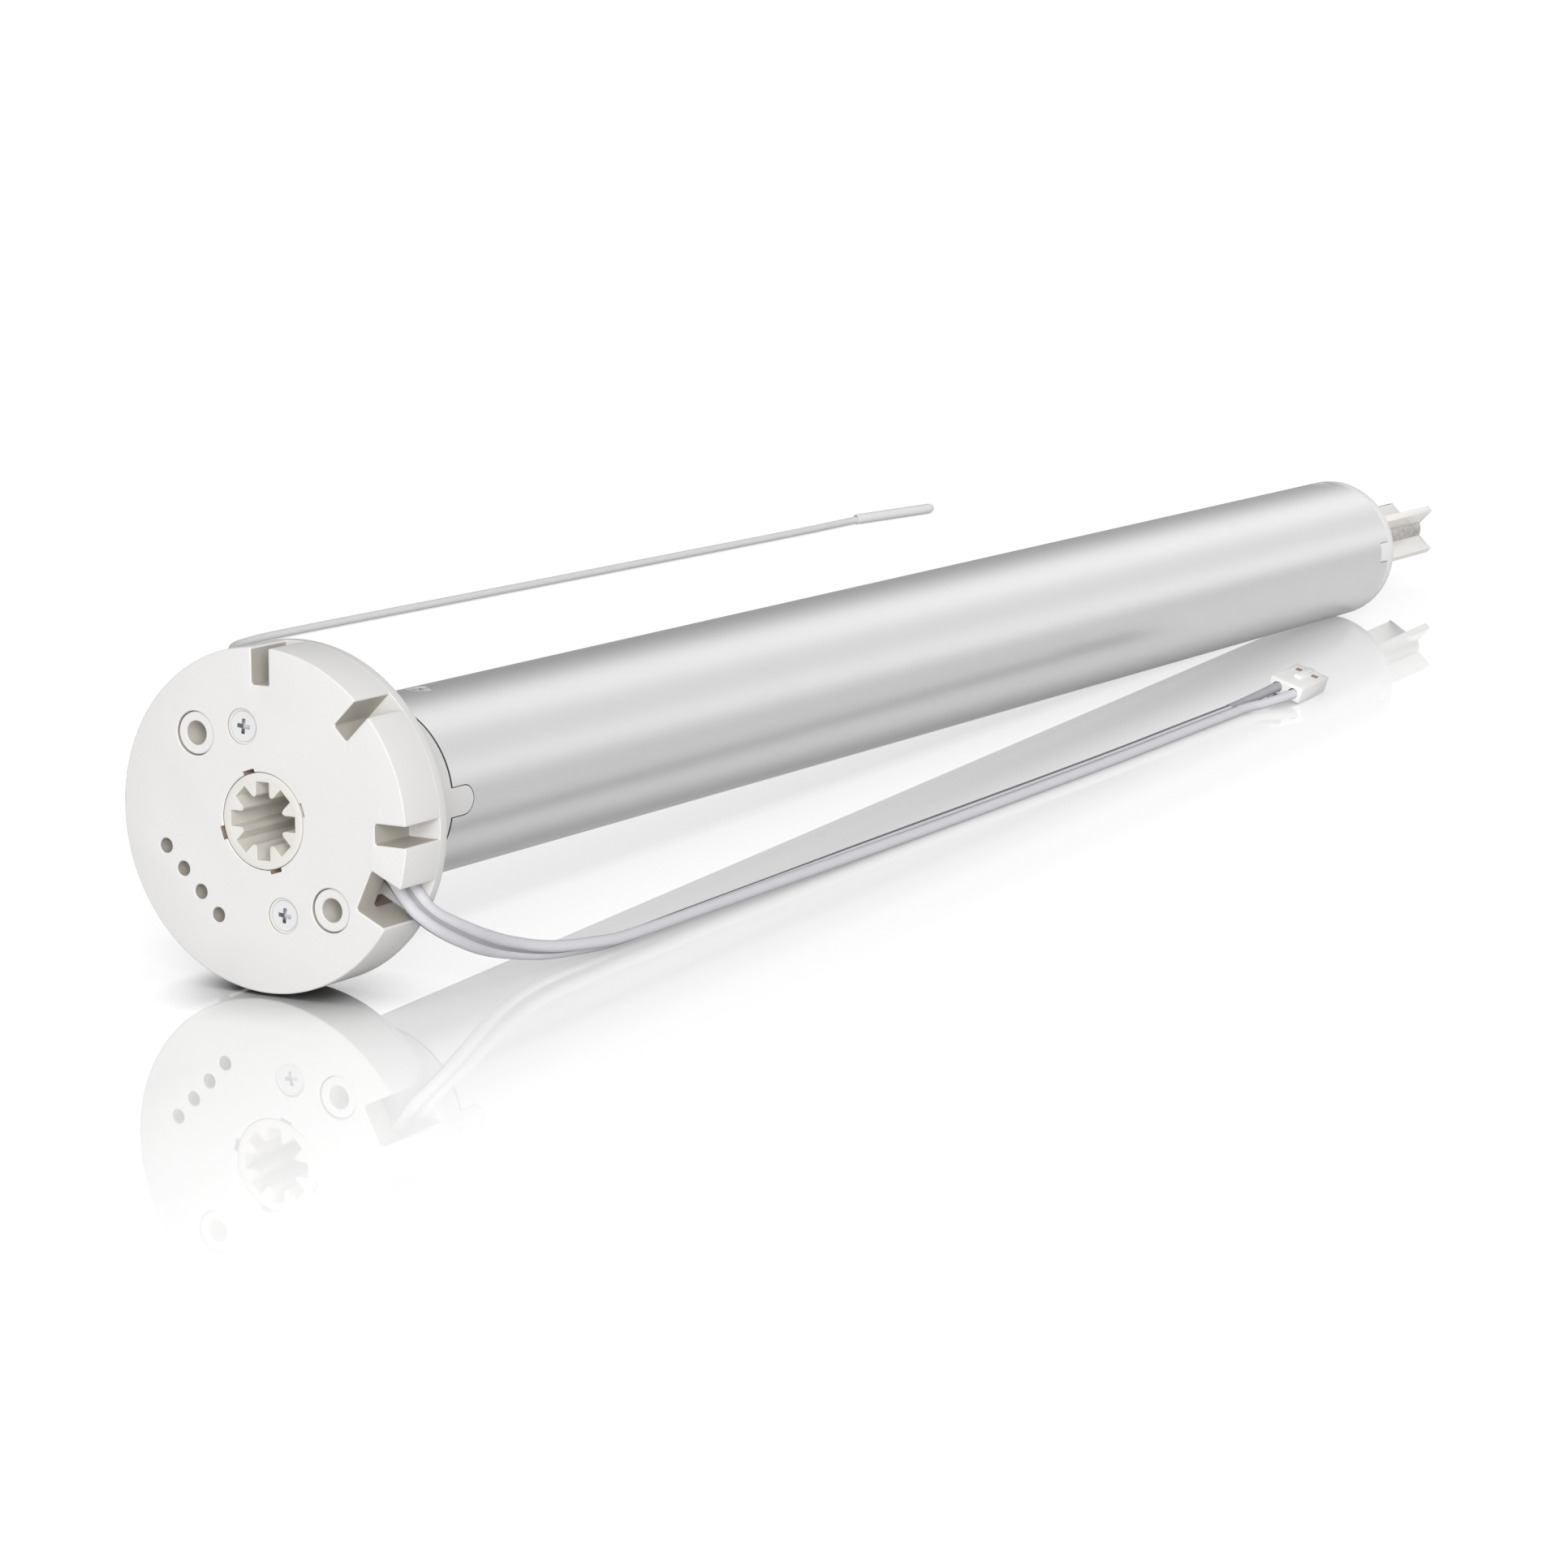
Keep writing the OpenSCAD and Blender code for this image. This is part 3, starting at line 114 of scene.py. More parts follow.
# %% Shader helpers
class Signal:
    """A number on its way to a shader. Sums on it add Math nodes."""

    def __init__(self, finish, socket):
        self.finish = finish
        self.socket = socket

    def _math(self, operation, first, second):
        return self.finish.node("ShaderNodeMath", {"operation": operation}, {0: first, 1: second})

    def __add__(self, other):
        return self._math("ADD", self, other)

    __radd__ = __add__

    def __sub__(self, other):
        return self._math("SUBTRACT", self, other)

    def __rsub__(self, other):
        return self._math("SUBTRACT", other, self)

    def __mul__(self, other):
        return self._math("MULTIPLY", self, other)

    __rmul__ = __mul__


class Finish:
    """One material round one Principled shader."""

    def __init__(self, name, colour, roughness, metallic=0.0, specular=0.5):
        self.material = bpy.data.materials.new(name)
        self.material.use_nodes = True
        self.tree = self.material.node_tree
        self.tree.nodes.clear()
        self.shader = self.tree.nodes.new("ShaderNodeBsdfPrincipled")
        output = self.tree.nodes.new("ShaderNodeOutputMaterial")
        self.tree.links.new(self.shader.outputs["BSDF"], output.inputs["Surface"])
        self.colour = (*colour, 1.0)
        self.shader.inputs["Base Color"].default_value = self.colour
        self.shader.inputs["Roughness"].default_value = roughness
        self.shader.inputs["Metallic"].default_value = metallic
        self.shader.inputs["Specular IOR Level"].default_value = specular

    def put(self, socket, value):
        """Links a Signal or a node's socket, or sets a plain value."""
        if isinstance(value, Signal):
            value = value.socket
        if isinstance(value, bpy.types.NodeSocket):
            self.tree.links.new(value, socket)
        else:
            socket.default_value = value

    def node(self, kind, settings=None, inputs=None, output=0):
        """Adds a node: its settings first, then its sockets. Gives the chosen output."""
        made = self.tree.nodes.new(kind)
        for key, value in (settings or {}).items():
            if key == "stops":
                self.set_stops(made.color_ramp, value)
            else:
                setattr(made, key, value)
        for key, value in (inputs or {}).items():
            self.put(made.inputs[key], value)
        return Signal(self, made.outputs[output])

    def set_stops(self, ramp, stops):
        """Places a ramp's stops, each a position and a grey or a colour."""
        while len(ramp.elements) < len(stops):
            ramp.elements.new(1.0)
        for element, (place, tone) in zip(ramp.elements, stops):
            element.position = place
            element.color = (tone, tone, tone, 1) if isinstance(tone, (int, float)) else (*tone, 1)

    def grain(self, size, stretch=(1, 1, 1), detail=2.0, along_axis=False):
        """Noise with grains of the given size in millimetres, from 0 to 1."""
        place = self.node("ShaderNodeTexCoord", output="Object")
        turn = (0, -lean if along_axis else 0, 0)
        scale = tuple(1 / (MM * size * s) for s in stretch)
        place = self.node("ShaderNodeMapping", None, {"Vector": place, "Rotation": turn, "Scale": scale})
        return self.node("ShaderNodeTexNoise", None, {"Vector": place, "Scale": 1.0, "Detail": detail})

    def tint(self, amount, other):
        """Mixes the base colour with another by a signal."""
        mixed = self.node("ShaderNodeMix", {"data_type": "RGBA"},
                          {0: amount, 6: self.colour, 7: (*other, 1.0)}, output=2)
        self.put(self.shader.inputs["Base Color"], mixed)

    def roughen(self, signal):
        self.put(self.shader.inputs["Roughness"], signal)

    def bump(self, height, depth_mm, strength=1.0):
        """Raises the surface by a signal, by the given depth in millimetres."""
        normal = self.node("ShaderNodeBump", None,
                           {"Height": height, "Distance": depth_mm * MM, "Strength": strength})
        self.put(self.shader.inputs["Normal"], normal)


print("Shader helpers are ready")

# %% [markdown]
# The head is moulded from a warm white plastic whose tool was spark eroded, which
# leaves a fine matt grain. Grains of about a third of a millimetre change the colour
# by a hair and lift the surface by a hundredth of a millimetre. A second, wider noise
# keeps large faces from looking drawn.

# %% Moulded plastics
def moulded(name, colour, shade, roughness, grain_mm=0.35, depth_mm=0.012):
    """A moulded plastic with a fine matt grain."""
    finish = Finish(name, colour, roughness, specular=0.4)
    fine = finish.grain(grain_mm)
    broad = finish.grain(9.0)
    finish.tint(fine * 0.7 + broad * 0.3, shade)
    finish.roughen(fine * 0.16 + (roughness - 0.08))
    finish.bump(fine, depth_mm)
    return finish.material


plastics = {
    "head_plastic": ((0.90, 0.893, 0.88), (0.84, 0.832, 0.815), 0.55),
    "socket_plastic": ((0.87, 0.85, 0.81), (0.83, 0.81, 0.765), 0.42, 0.6, 0.006),
    "clamp_plastic": ((0.70, 0.69, 0.67), (0.62, 0.61, 0.59), 0.5),
    "cradle_plastic": ((0.80, 0.79, 0.75), (0.74, 0.73, 0.69), 0.5),
    "gear_plastic": ((0.82, 0.79, 0.70), (0.77, 0.74, 0.64), 0.35, 0.5, 0.004),
    "washer_plastic": ((0.76, 0.72, 0.62), (0.70, 0.66, 0.56), 0.4, 0.5, 0.004),
    "dark_plastic": ((0.035, 0.036, 0.04), (0.06, 0.06, 0.066), 0.45),
    "damper_rubber": ((0.03, 0.03, 0.03), (0.05, 0.05, 0.05), 0.8, 0.5, 0.03),
    "ferrite": ((0.06, 0.06, 0.065), (0.1, 0.1, 0.105), 0.6, 0.25, 0.02),
    "capacitor_sleeve": ((0.02, 0.045, 0.11), (0.03, 0.06, 0.14), 0.25, 2.0, 0.004),
    "board_laminate": ((0.02, 0.11, 0.045), (0.03, 0.15, 0.06), 0.3, 1.2, 0.01),
    # Painted shade for the hollow behind the window in the lead's slot.
    "head_hollow": ((0.26, 0.205, 0.16), (0.2, 0.155, 0.12), 0.7),
    # Painted shade for the walls of the cover's slots and holes.
    "head_inside": ((0.51, 0.485, 0.435), (0.455, 0.43, 0.38), 0.55),
    "bore_shade": ((0.72, 0.695, 0.64), (0.66, 0.635, 0.58), 0.5),
    "ring_plastic": ((0.97, 0.97, 0.965), (0.93, 0.93, 0.925), 0.5),
    "notch_shade": ((0.45, 0.34, 0.27), (0.38, 0.28, 0.22), 0.6)}
finishes = {name: moulded(name, *values) for name, values in plastics.items()}
print("Moulded finishes", len(plastics))

# %% [markdown]
# The tube is drawn aluminium with a satin anodised skin. Drawing leaves very fine
# lines along the tube, so the noise is stretched forty times along the axis. The lines
# sway the roughness a little, and the skin itself stays smooth.

# %% Metals
def metal(name, colour, shade, roughness, grain_mm=0.3, stretch=(1, 1, 1), depth_mm=0.004,
          spread=0.1, amount=1.0):
    """A metal whose grain may be stretched along the motor. A dull one has an amount below 1."""
    finish = Finish(name, colour, roughness, metallic=amount)
    fine = finish.grain(grain_mm, stretch, along_axis=stretch != (1, 1, 1))
    broad = finish.grain(14.0)
    finish.tint(fine * 0.5 + broad * 0.5, shade)
    finish.roughen(fine * spread + (roughness - spread / 2))
    finish.bump(fine, depth_mm)
    return finish.material


drawn, even_grain = (40, 1, 1), (1, 1, 1)
metals = {
    "tube_aluminium": ((0.80, 0.80, 0.81), (0.76, 0.76, 0.765), 0.34, 0.12, drawn, 0.0015),
    "screw_zinc": ((0.95, 0.95, 0.96), (0.90, 0.90, 0.92), 0.3, 0.5, even_grain, 0.004, 0.1, 0.25),
    "cast_alloy": ((0.88, 0.865, 0.84), (0.80, 0.78, 0.75), 0.3, 0.7, even_grain, 0.02, 0.15),
    "rough_cast": ((0.98, 0.965, 0.94), (0.22, 0.20, 0.175), 0.32, 0.8, even_grain, 0.3, 0.3),
    "recess_steel": ((0.80, 0.81, 0.83), (0.64, 0.65, 0.67), 0.25, 0.25),
    # Painted shadow line for the seam where the tube meets the collar.
    "cut_edge": ((0.13, 0.13, 0.14), (0.1, 0.1, 0.11), 0.5, 0.25),
    "machined_steel": ((0.60, 0.60, 0.61), (0.5, 0.5, 0.51), 0.3, 0.2),
    "spring_steel": ((0.42, 0.42, 0.43), (0.34, 0.34, 0.35), 0.3, 0.2),
    "sintered_bronze": ((0.60, 0.42, 0.22), (0.48, 0.33, 0.17), 0.45, 0.25, even_grain, 0.02),
    "copper": ((0.72, 0.33, 0.17), (0.58, 0.25, 0.12), 0.3, 0.4),
    "contact_brass": ((0.76, 0.68, 0.48), (0.66, 0.57, 0.38), 0.28, 0.4),
    "shield_tin": ((0.72, 0.73, 0.74), (0.64, 0.65, 0.66), 0.3, 1.5)}
finishes.update({name: metal(name, *values) for name, values in metals.items()})
print("Metal finishes", len(metals))

# %% [markdown]
# The lead and the antenna have soft vinyl skins, and the plug is natural nylon. Vinyl
# is smoother than the head: it takes a soft highlight along its length and shows only
# slow ripples, so its noise is coarse and shallow.

# %% Vinyl and nylon
def vinyl(name, colour, shade, roughness, ripple_mm=3.0, depth_mm=0.02):
    """A soft smooth skin with slow ripples."""
    finish = Finish(name, colour, roughness, specular=0.5)
    ripple = finish.grain(ripple_mm, detail=1.0)
    finish.tint(ripple, shade)
    finish.roughen(ripple * 0.12 + (roughness - 0.06))
    finish.bump(ripple, depth_mm)
    return finish.material


soft_skins = {
    "lead_jacket": ((0.72, 0.72, 0.755), (0.68, 0.68, 0.72), 0.36),
    # Painted shade for the groove between the cores and for the far core.
    "lead_web": ((0.42, 0.42, 0.45), (0.38, 0.38, 0.41), 0.5),
    "lead_stripe": ((0.10, 0.10, 0.11), (0.13, 0.13, 0.14), 0.42),
    "antenna_jacket": ((0.80, 0.80, 0.81), (0.76, 0.76, 0.775), 0.4),
    "sleeve_skin": ((0.88, 0.88, 0.885), (0.84, 0.84, 0.85), 0.5, 1.2),
    "plug_nylon": ((0.96, 0.96, 0.95), (0.93, 0.93, 0.915), 0.35, 2.0, 0.01)}
finishes.update({name: vinyl(name, *values) for name, values in soft_skins.items()})
print("Soft finishes", len(soft_skins))

# %% [markdown]
# The cords are laid before anything else that shows, because the room that they take counts. Each follows
# given points, the same as in the CAD model, and a smooth curve is led through them. The curve is a
# Catmull-Rom spline: it passes through every point, and its direction at a point is that of the line between
# its neighbours.

# %% Smooth routes
def smooth_route(points, steps=8):
    """A Catmull-Rom curve through the points, in metres."""
    p = [Vector(q) * MM for q in points]
    p = [2 * p[0] - p[1], *p, 2 * p[-1] - p[-2]]
    route = []
    for a, b, c, d in zip(p, p[1:], p[2:], p[3:]):
        for k in range(steps):
            t = k / steps
            route.append(0.5 * (2 * b + (c - a) * t + (2 * a - 5 * b + 4 * c - d) * t**2
                                + (3 * b - a - 3 * c + d) * t**3))
    return [*route, p[-2]]


def route_length(route):
    return sum((b - a).length for a, b in zip(route, route[1:]))


def laid_curve(name, route, finish, radius):
    """A round curve along a route."""
    data = bpy.data.curves.new(name, "CURVE")
    data.dimensions = "3D"
    data.use_fill_caps = True
    spline = data.splines.new("POLY")
    spline.points.add(len(route) - 1)
    for point, place in zip(spline.points, route):
        point.co = (*place, 1)
    spline.use_smooth = True
    data.bevel_depth = radius
    data.bevel_resolution = 6
    data.materials.append(finishes[finish])
    made = bpy.data.objects.new(name, data)
    bpy.context.scene.collection.objects.link(made)
    return made


lead_z = -24.4
lead_points = [
    (6.1, -11.7, -4.4), (6.1, -13.3, -5), (6.1, -14.9, -5.6), (6.1, -16.5, -6.2), (6.1, -18, -7),
    (6.1, -19.4, -8), (6, -20.7, -9.2), (6, -21.9, -10.5), (6.4, -23, -11.9), (7.7, -24, -13.4),
    (9.9, -24.8, -14.9), (12.5, -25.3, -16.3), (15.9, -25.5, -17.9), (20.9, -25.5, -19.8),
    (25.9, -25.9, -21.3), (29.1, -26.5, -22.1), (32.3, -27.2, -22.7), (35.6, -27.8, -23.1),
    (39, -28.4, -23.4), (42.6, -28.9, -23.7), (46.3, -29.2, -23.9), (55, -29.4, -24), (69, -29.4, -24.1),
    (92, -29.7, -24.2), (117, -30, -24.3), (144, -30.3, lead_z), (183, -30.9, lead_z),
    (210, -31.1, lead_z), (232, -30.9, lead_z), (255, -30.8, lead_z)]
lead_turns = [
    180, 180, 180, 180, 174, 164, 152, 139, 126, 113, 100, 88, 74, 56, 46, 42, 38, 34, 31, 28, 25, 22, 18,
    12, 4, 0, 0, 0, 0, 0]
near_wire_points = [
    (255.1, -31.9, -24.3), (259, -32.4, -24.3), (263, -33.5, -24.2), (267, -34.9, -23.8),
    (270.3, -35.7, -23.5), (272.2, -35.6, -23.5)]
far_wire_points = [
    (255.1, -29.7, -24.3), (259, -29.8, -24.2), (263, -30.5, -23.7), (267, -31.9, -22.8),
    (270.1, -32.6, -22.3), (272, -32.4, -22.3)]
antenna_z = -24.4
sleeve_z = -24.1
antenna_points = [
    (17.8, 13.3, -5.4), (17.9, 17, -6.8), (19, 21, -9.8), (22, 25, -14), (26.5, 29.4, -18.6),
    (33, 34.6, -22.2), (41, 41, -24), (50, 48, antenna_z), (70, 63, antenna_z), (95, 80.5, antenna_z),
    (120, 97, antenna_z), (145, 114.5, antenna_z), (168, 131, antenna_z), (186, 144.5, antenna_z),
    (200, 155.5, antenna_z), (211, 165, antenna_z), (218, 172, antenna_z), (222.5, 177.3, antenna_z),
    (226.5, 181.3, antenna_z), (231, 183.4, antenna_z), (237, 184, antenna_z), (243, 183.8, antenna_z),
    (260, 181.6, antenna_z), (290, 177.2, antenna_z), (325, 172, antenna_z), (360, 166.9, antenna_z),
    (395, 161.8, antenna_z), (418, 158.7, antenna_z), (430, 157.4, antenna_z), (436, 156.4, -24.3),
    (441, 154.9, sleeve_z)]
print("Route lengths", [round(route_length(smooth_route(p)), 4) for p in (lead_points, antenna_points)])

# %% [markdown]
# The power lead is a flat twin: two round cores in one skin with a groove between them, like a narrow figure
# of eight. Near the head it hangs on edge and it turns over as it comes to rest, so its section is led along
# the route and turned a little more at each point. One core is marked by a dark stripe, as twin leads are,
# and the stripe is a second finish on the faces that it covers.

# %% Power lead
lead_w = 3.95
lead_t = 1.75
lead_groove = 31
stripe_from, stripe_to = 68, 175


def twin_section(width, thick, groove_angle, steps=20):
    """Offsets and outward angles of places round two joined cores."""
    r = thick / 2
    side = width / 2 - r
    sweep = 180 - groove_angle
    angles = [-sweep + 2 * sweep * k / steps for k in range(steps + 1)]
    right = [(side + r * math.cos(math.radians(a)), r * math.sin(math.radians(a)), a) for a in angles]
    return right + [(-x, -y, a + 180) for x, y, a in right]


def even_turns(turns, steps=8):
    """The turn at each point of a smooth route."""
    return [a + (b - a) * k / steps for a, b in zip(turns, turns[1:]) for k in range(steps)] + [turns[-1]]


def swept(name, route, turns, section, skins):
    """A flat section led along a route. Its first core is on the right of the way ahead."""
    bm = bmesh.new()
    rings = []
    for k, place in enumerate(route):
        ahead = (route[min(k + 1, len(route) - 1)] - route[max(k - 1, 0)]).normalized()
        level = ahead.cross(Vector((0, 0, 1))).normalized()
        across = Matrix.Rotation(math.radians(-turns[k]), 4, ahead) @ level
        up = across.cross(ahead)
        rings.append([bm.verts.new(place / MM + across * x + up * y) for x, y, a in section])
    count = len(section)
    for ring, following in zip(rings, rings[1:]):
        for k in range(count):
            n = (k + 1) % count
            face = bm.faces.new((ring[k], ring[n], following[n], following[k]))
            middle = (section[k][2] + section[n][2]) / 2
            # Faces in the groove between the cores take the third finish, a darker grey: painted shade in the
            # crease.
            if n % (count // 2) == 0:
                face.material_index = 2
            elif k > count / 2 and stripe_from < middle < stripe_to:
                face.material_index = 1
    bm.faces.new(rings[0])
    bm.faces.new(rings[-1])
    made = link(name, bm, skins[0], Matrix.Scale(MM, 4), 40)
    for skin in skins[1:]:
        made.data.materials.append(finishes[skin])
    return made


def as_mesh(piece):
    """Replaces a curve or a piece with modifiers by its finished mesh."""
    bpy.context.view_layer.update()
    graph = bpy.context.evaluated_depsgraph_get()
    mesh = bpy.data.meshes.new_from_object(piece.evaluated_get(graph))
    mesh.name = piece.name
    made = bpy.data.objects.new(piece.name + "_mesh", mesh)
    bpy.context.scene.collection.objects.link(made)
    name = piece.name
    bpy.data.objects.remove(piece)
    made.name = name
    return made


# %% [markdown]
# Two helpers serve nearly every later piece. One makes an object of a bmesh and
# shades it, and the other spins a profile round the motor's axis.

# %% Turning helper
def link(name, bm, finish, place=LAY_DOWN, sharp=30):
    """Makes an object of a bmesh, with its place in its mesh and the named finish."""
    bmesh.ops.remove_doubles(bm, verts=bm.verts, dist=0.0005)
    bmesh.ops.recalc_face_normals(bm, faces=bm.faces)
    bm.transform(place)
    mesh = bpy.data.meshes.new(name)
    bm.to_mesh(mesh)
    bm.free()
    mesh.materials.append(finishes[finish])
    mesh.polygons.foreach_set("use_smooth", [True] * len(mesh.polygons))
    mesh.set_sharp_from_angle(angle=math.radians(sharp))
    made = bpy.data.objects.new(name, mesh)
    bpy.context.scene.collection.objects.link(made)
    return made


def refinish(piece, finish, chosen, laid=LAY_DOWN):
    """Gives chosen faces another finish, by their middle and normal before the piece was laid."""
    slot = len(piece.data.materials)
    piece.data.materials.append(finishes[finish])
    back = laid.inverted()
    turn = back.to_3x3().normalized()
    for face in piece.data.polygons:
        if chosen(back @ face.center, turn @ face.normal):
            face.material_index = slot


def turned(profile, steps=128, closed=True):
    """A profile of places along x and radii, spun round the x axis."""
    bm = bmesh.new()
    verts = [bm.verts.new((x, 0, r)) for x, r in profile]
    pairs = list(zip(verts, verts[1:]))
    if closed:
        pairs.append((verts[-1], verts[0]))
    edges = [bm.edges.new(pair) for pair in pairs]
    bmesh.ops.spin(bm, geom=verts + edges, cent=(0, 0, 0), axis=(1, 0, 0), angle=math.tau,
                   steps=steps, use_merge=True)
    bmesh.ops.remove_doubles(bm, verts=bm.verts, dist=0.0005)
    bmesh.ops.recalc_face_normals(bm, faces=bm.faces)
    return bm


def moved(bm, matrix):
    """Moves a whole bmesh by a matrix."""
    bm.transform(matrix)
    return bm


def corner(x, r, dx, dr, radius, steps=3):
    """A rounded corner of a profile, from a first direction to a second one."""
    first, second = Vector(dx), Vector(dr)
    centre = Vector((x, r)) + (first + second) * radius
    points = []
    for k in range(steps + 1):
        a = math.pi / 2 * k / steps
        points.append(tuple(centre - second * radius * math.cos(a) - first * radius * math.sin(a)))
    return points


print("Turning helpers are ready")

# %% Lay the lead
lead_route = smooth_route(lead_points)
power_lead = swept("power_lead_skin", lead_route, even_turns(lead_turns),
                   twin_section(lead_w, lead_t, lead_groove), ("lead_jacket", "lead_stripe", "lead_web"))
wire_d = 1.75
# The far core, which carries the stripe, takes the same painted shade grey as the groove along its whole
# length.
lead_cores = [
    as_mesh(laid_curve(name, smooth_route(points), skin, wire_d / 2 * MM))
    for name, points, skin in (("lead_core_near", near_wire_points, "lead_jacket"),
                               ("lead_core_far", far_wire_points, "lead_web"))]
print("Lead", round(route_length(lead_route), 4), "m, faces", len(power_lead.data.polygons))

# %% [markdown]
# The antenna is one thin round wire with a shrunk sleeve at its tip. The sleeve is
# turned: a short profile of its wall is spun round its own axis, and its tip is drawn
# in where the tube shrank past the wire's end.

# %% Antenna
antenna_d = 1.65
sleeve_d = 2.36
sleeve_len = 25.7
sleeve_tip = 1.6
sleeve_wall = 0.33
sleeve_at = (437.2, 156.05, sleeve_z)
sleeve_turn = -16.5
wire_end = 4.9
antenna_route = smooth_route(antenna_points)
antenna = as_mesh(laid_curve("antenna_wire", antenna_route, "antenna_jacket", antenna_d / 2 * MM))
sleeve_profile = [
    (0, sleeve_d / 2 - sleeve_wall), (0, sleeve_d / 2 - 0.08), (0.12, sleeve_d / 2),
    (sleeve_len - sleeve_tip, sleeve_d / 2), (sleeve_len - sleeve_tip * 0.55, sleeve_d / 2 - 0.12),
    (sleeve_len - sleeve_tip * 0.2, sleeve_d / 2 - 0.42), (sleeve_len - 0.02, sleeve_d / 2 - 0.8),
    (sleeve_len - 0.02, 0), (wire_end, 0), (wire_end, sleeve_d / 2 - sleeve_wall)]
sleeve_place = (Matrix.Scale(MM, 4) @ Matrix.Translation(sleeve_at)
                @ Matrix.Rotation(math.radians(sleeve_turn), 4, "Z"))
sleeve = link("antenna_tip_sleeve", turned(sleeve_profile, 40), "sleeve_skin", sleeve_place)
print("Antenna", round(route_length(antenna_route), 4), "m")

# %% [markdown]
# The lead ends in a flat two way plug of natural nylon, which lies tilted on the key under its edge. Painting
# dark marks on a block would be quicker, but the mouths and windows of the real one hold shade of their own.
# So blocks are joined, and the openings are cut, and the walls of the windows also get a painted shade. The
# helpers for it are a block, a rod and a Boolean of two bmeshes.

# %% Plug housing
plug_l, plug_w, plug_h = 14, 6.8, 3
ridge_w, ridge_h = 1.2, 2
plug_roll = math.atan(ridge_h / (plug_w - ridge_w))
plug_at = (270.4, -36.8, floor_z)
plug_turn = 4
plug_place = (Matrix.Scale(MM, 4) @ Matrix.Translation(plug_at)
              @ Matrix.Rotation(math.radians(plug_turn), 4, "Z") @ Matrix.Rotation(plug_roll, 4, "X"))


def block(low, high, bevel=0.0):
    """A box between two corners, with its edges rounded."""
    bm = bmesh.new()
    low, high = Vector(low), Vector(high)
    place = Matrix.Translation((low + high) / 2) @ Matrix.Diagonal((*(high - low), 1))
    bmesh.ops.create_cube(bm, size=1, matrix=place)
    if bevel:
        bmesh.ops.bevel(bm, geom=bm.edges, offset=bevel, segments=2, profile=0.5,
                        affect="EDGES", material=-1)
    return bm


def rod(start, end, radius, steps=40):
    """A round bar between two points."""
    start, end = Vector(start), Vector(end)
    turn = (end - start).to_track_quat("Z", "Y").to_matrix().to_4x4()
    bm = bmesh.new()
    bmesh.ops.create_cone(bm, cap_ends=True, segments=steps, radius1=radius, radius2=radius,
                          depth=(end - start).length, matrix=Matrix.Translation((start + end) / 2) @ turn)
    return bm


def scratch_mesh(bm):
    """A mesh of a bmesh that is used up."""
    mesh = bpy.data.meshes.new("scratch")
    bm.to_mesh(mesh)
    bm.free()
    return mesh


def gather(*parts):
    """Puts several bmeshes into one."""
    whole = bmesh.new()
    for part in parts:
        mesh = scratch_mesh(part)
        whole.from_mesh(mesh)
        bpy.data.meshes.remove(mesh)
    return whole


def combine(first, second, operation="DIFFERENCE", overlapping=False):
    """Cuts or joins two bmeshes with a Boolean modifier. Gives a bmesh."""
    objects = []
    for bm in (first, second):
        made = bpy.data.objects.new("boolean", scratch_mesh(bm))
        bpy.context.scene.collection.objects.link(made)
        objects.append(made)
    modifier = objects[0].modifiers.new("cut", "BOOLEAN")
    modifier.operation = operation
    modifier.solver = "EXACT"
    modifier.use_self = overlapping
    modifier.object = objects[1]
    bpy.context.view_layer.update()
    graph = bpy.context.evaluated_depsgraph_get()
    result = bmesh.new()
    result.from_mesh(objects[0].evaluated_get(graph).to_mesh())
    for made in objects:
        mesh = made.data
        bpy.data.objects.remove(made)
        bpy.data.meshes.remove(mesh)
    return result


print("Plug leans by", round(math.degrees(plug_roll), 1), "degrees")

# %% Model the plug
plug_pitch = 3.3
channel_z, channel_half = 1.35, 0.85
window_from, window_to, window_half = 9.6, 11.4, 0.6
contact_y = [plug_w / 2 - plug_pitch / 2, plug_w / 2 + plug_pitch / 2]
shell = combine(block((0, 0, 0), (plug_l, plug_w, plug_h), 0.22),
                block((1.5, plug_w - ridge_w, -ridge_h), (plug_l - 1.5, plug_w - 0.02, 0.5), 0.15), "UNION")
latch = block((5, plug_w / 2 - 0.7, plug_h - 0.5), (plug_l - 1, plug_w / 2 + 0.7, plug_h + 0.58), 0.12)
shell = combine(shell, latch, "UNION")
openings = []
for y in contact_y:
    openings.append(rod((-1, y, channel_z), (3.5, y, channel_z), wire_d / 2 + 0.14))
    openings.append(block((3, y - 1, channel_z - channel_half),
                          (plug_l + 1, y + 1, channel_z + channel_half)))
    openings.append(block((window_from, y - window_half, channel_z),
                          (window_to, y + window_half, plug_h + 1)))
shell = combine(shell, gather(*openings), overlapping=True)
plug = link("plug_shell", shell, "plug_nylon", plug_place)
# The walls of the windows take the notch shade colour: painted shade inside the windows.
refinish(plug, "notch_shade", lambda place, normal: abs(normal.z) < 0.5
         and channel_z + channel_half - 0.05 < place.z < plug_h - 0.02
         and window_from - 0.1 < place.x < window_to + 0.1
         and any(abs(place.y - y) < window_half + 0.02 for y in contact_y), plug_place)
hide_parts("plug_housing")
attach(plug, "fixed")
print("Plug faces", len(plug.data.polygons))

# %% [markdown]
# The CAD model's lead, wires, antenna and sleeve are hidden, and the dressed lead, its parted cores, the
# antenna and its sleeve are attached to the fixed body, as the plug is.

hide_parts("power_lead")
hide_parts("lead_wires")
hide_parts("lead_wires")
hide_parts("antenna_lead")
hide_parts("antenna_sleeve")
for piece, finish_slot in (
        (power_lead, "lead_jacket"), (lead_cores[0], "lead_jacket"), (lead_cores[1], "lead_jacket"),
        (antenna, "antenna_jacket"), (sleeve, "antenna_jacket")):
    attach(piece, "fixed")
route_length(lead_route)
route_length(antenna_route)

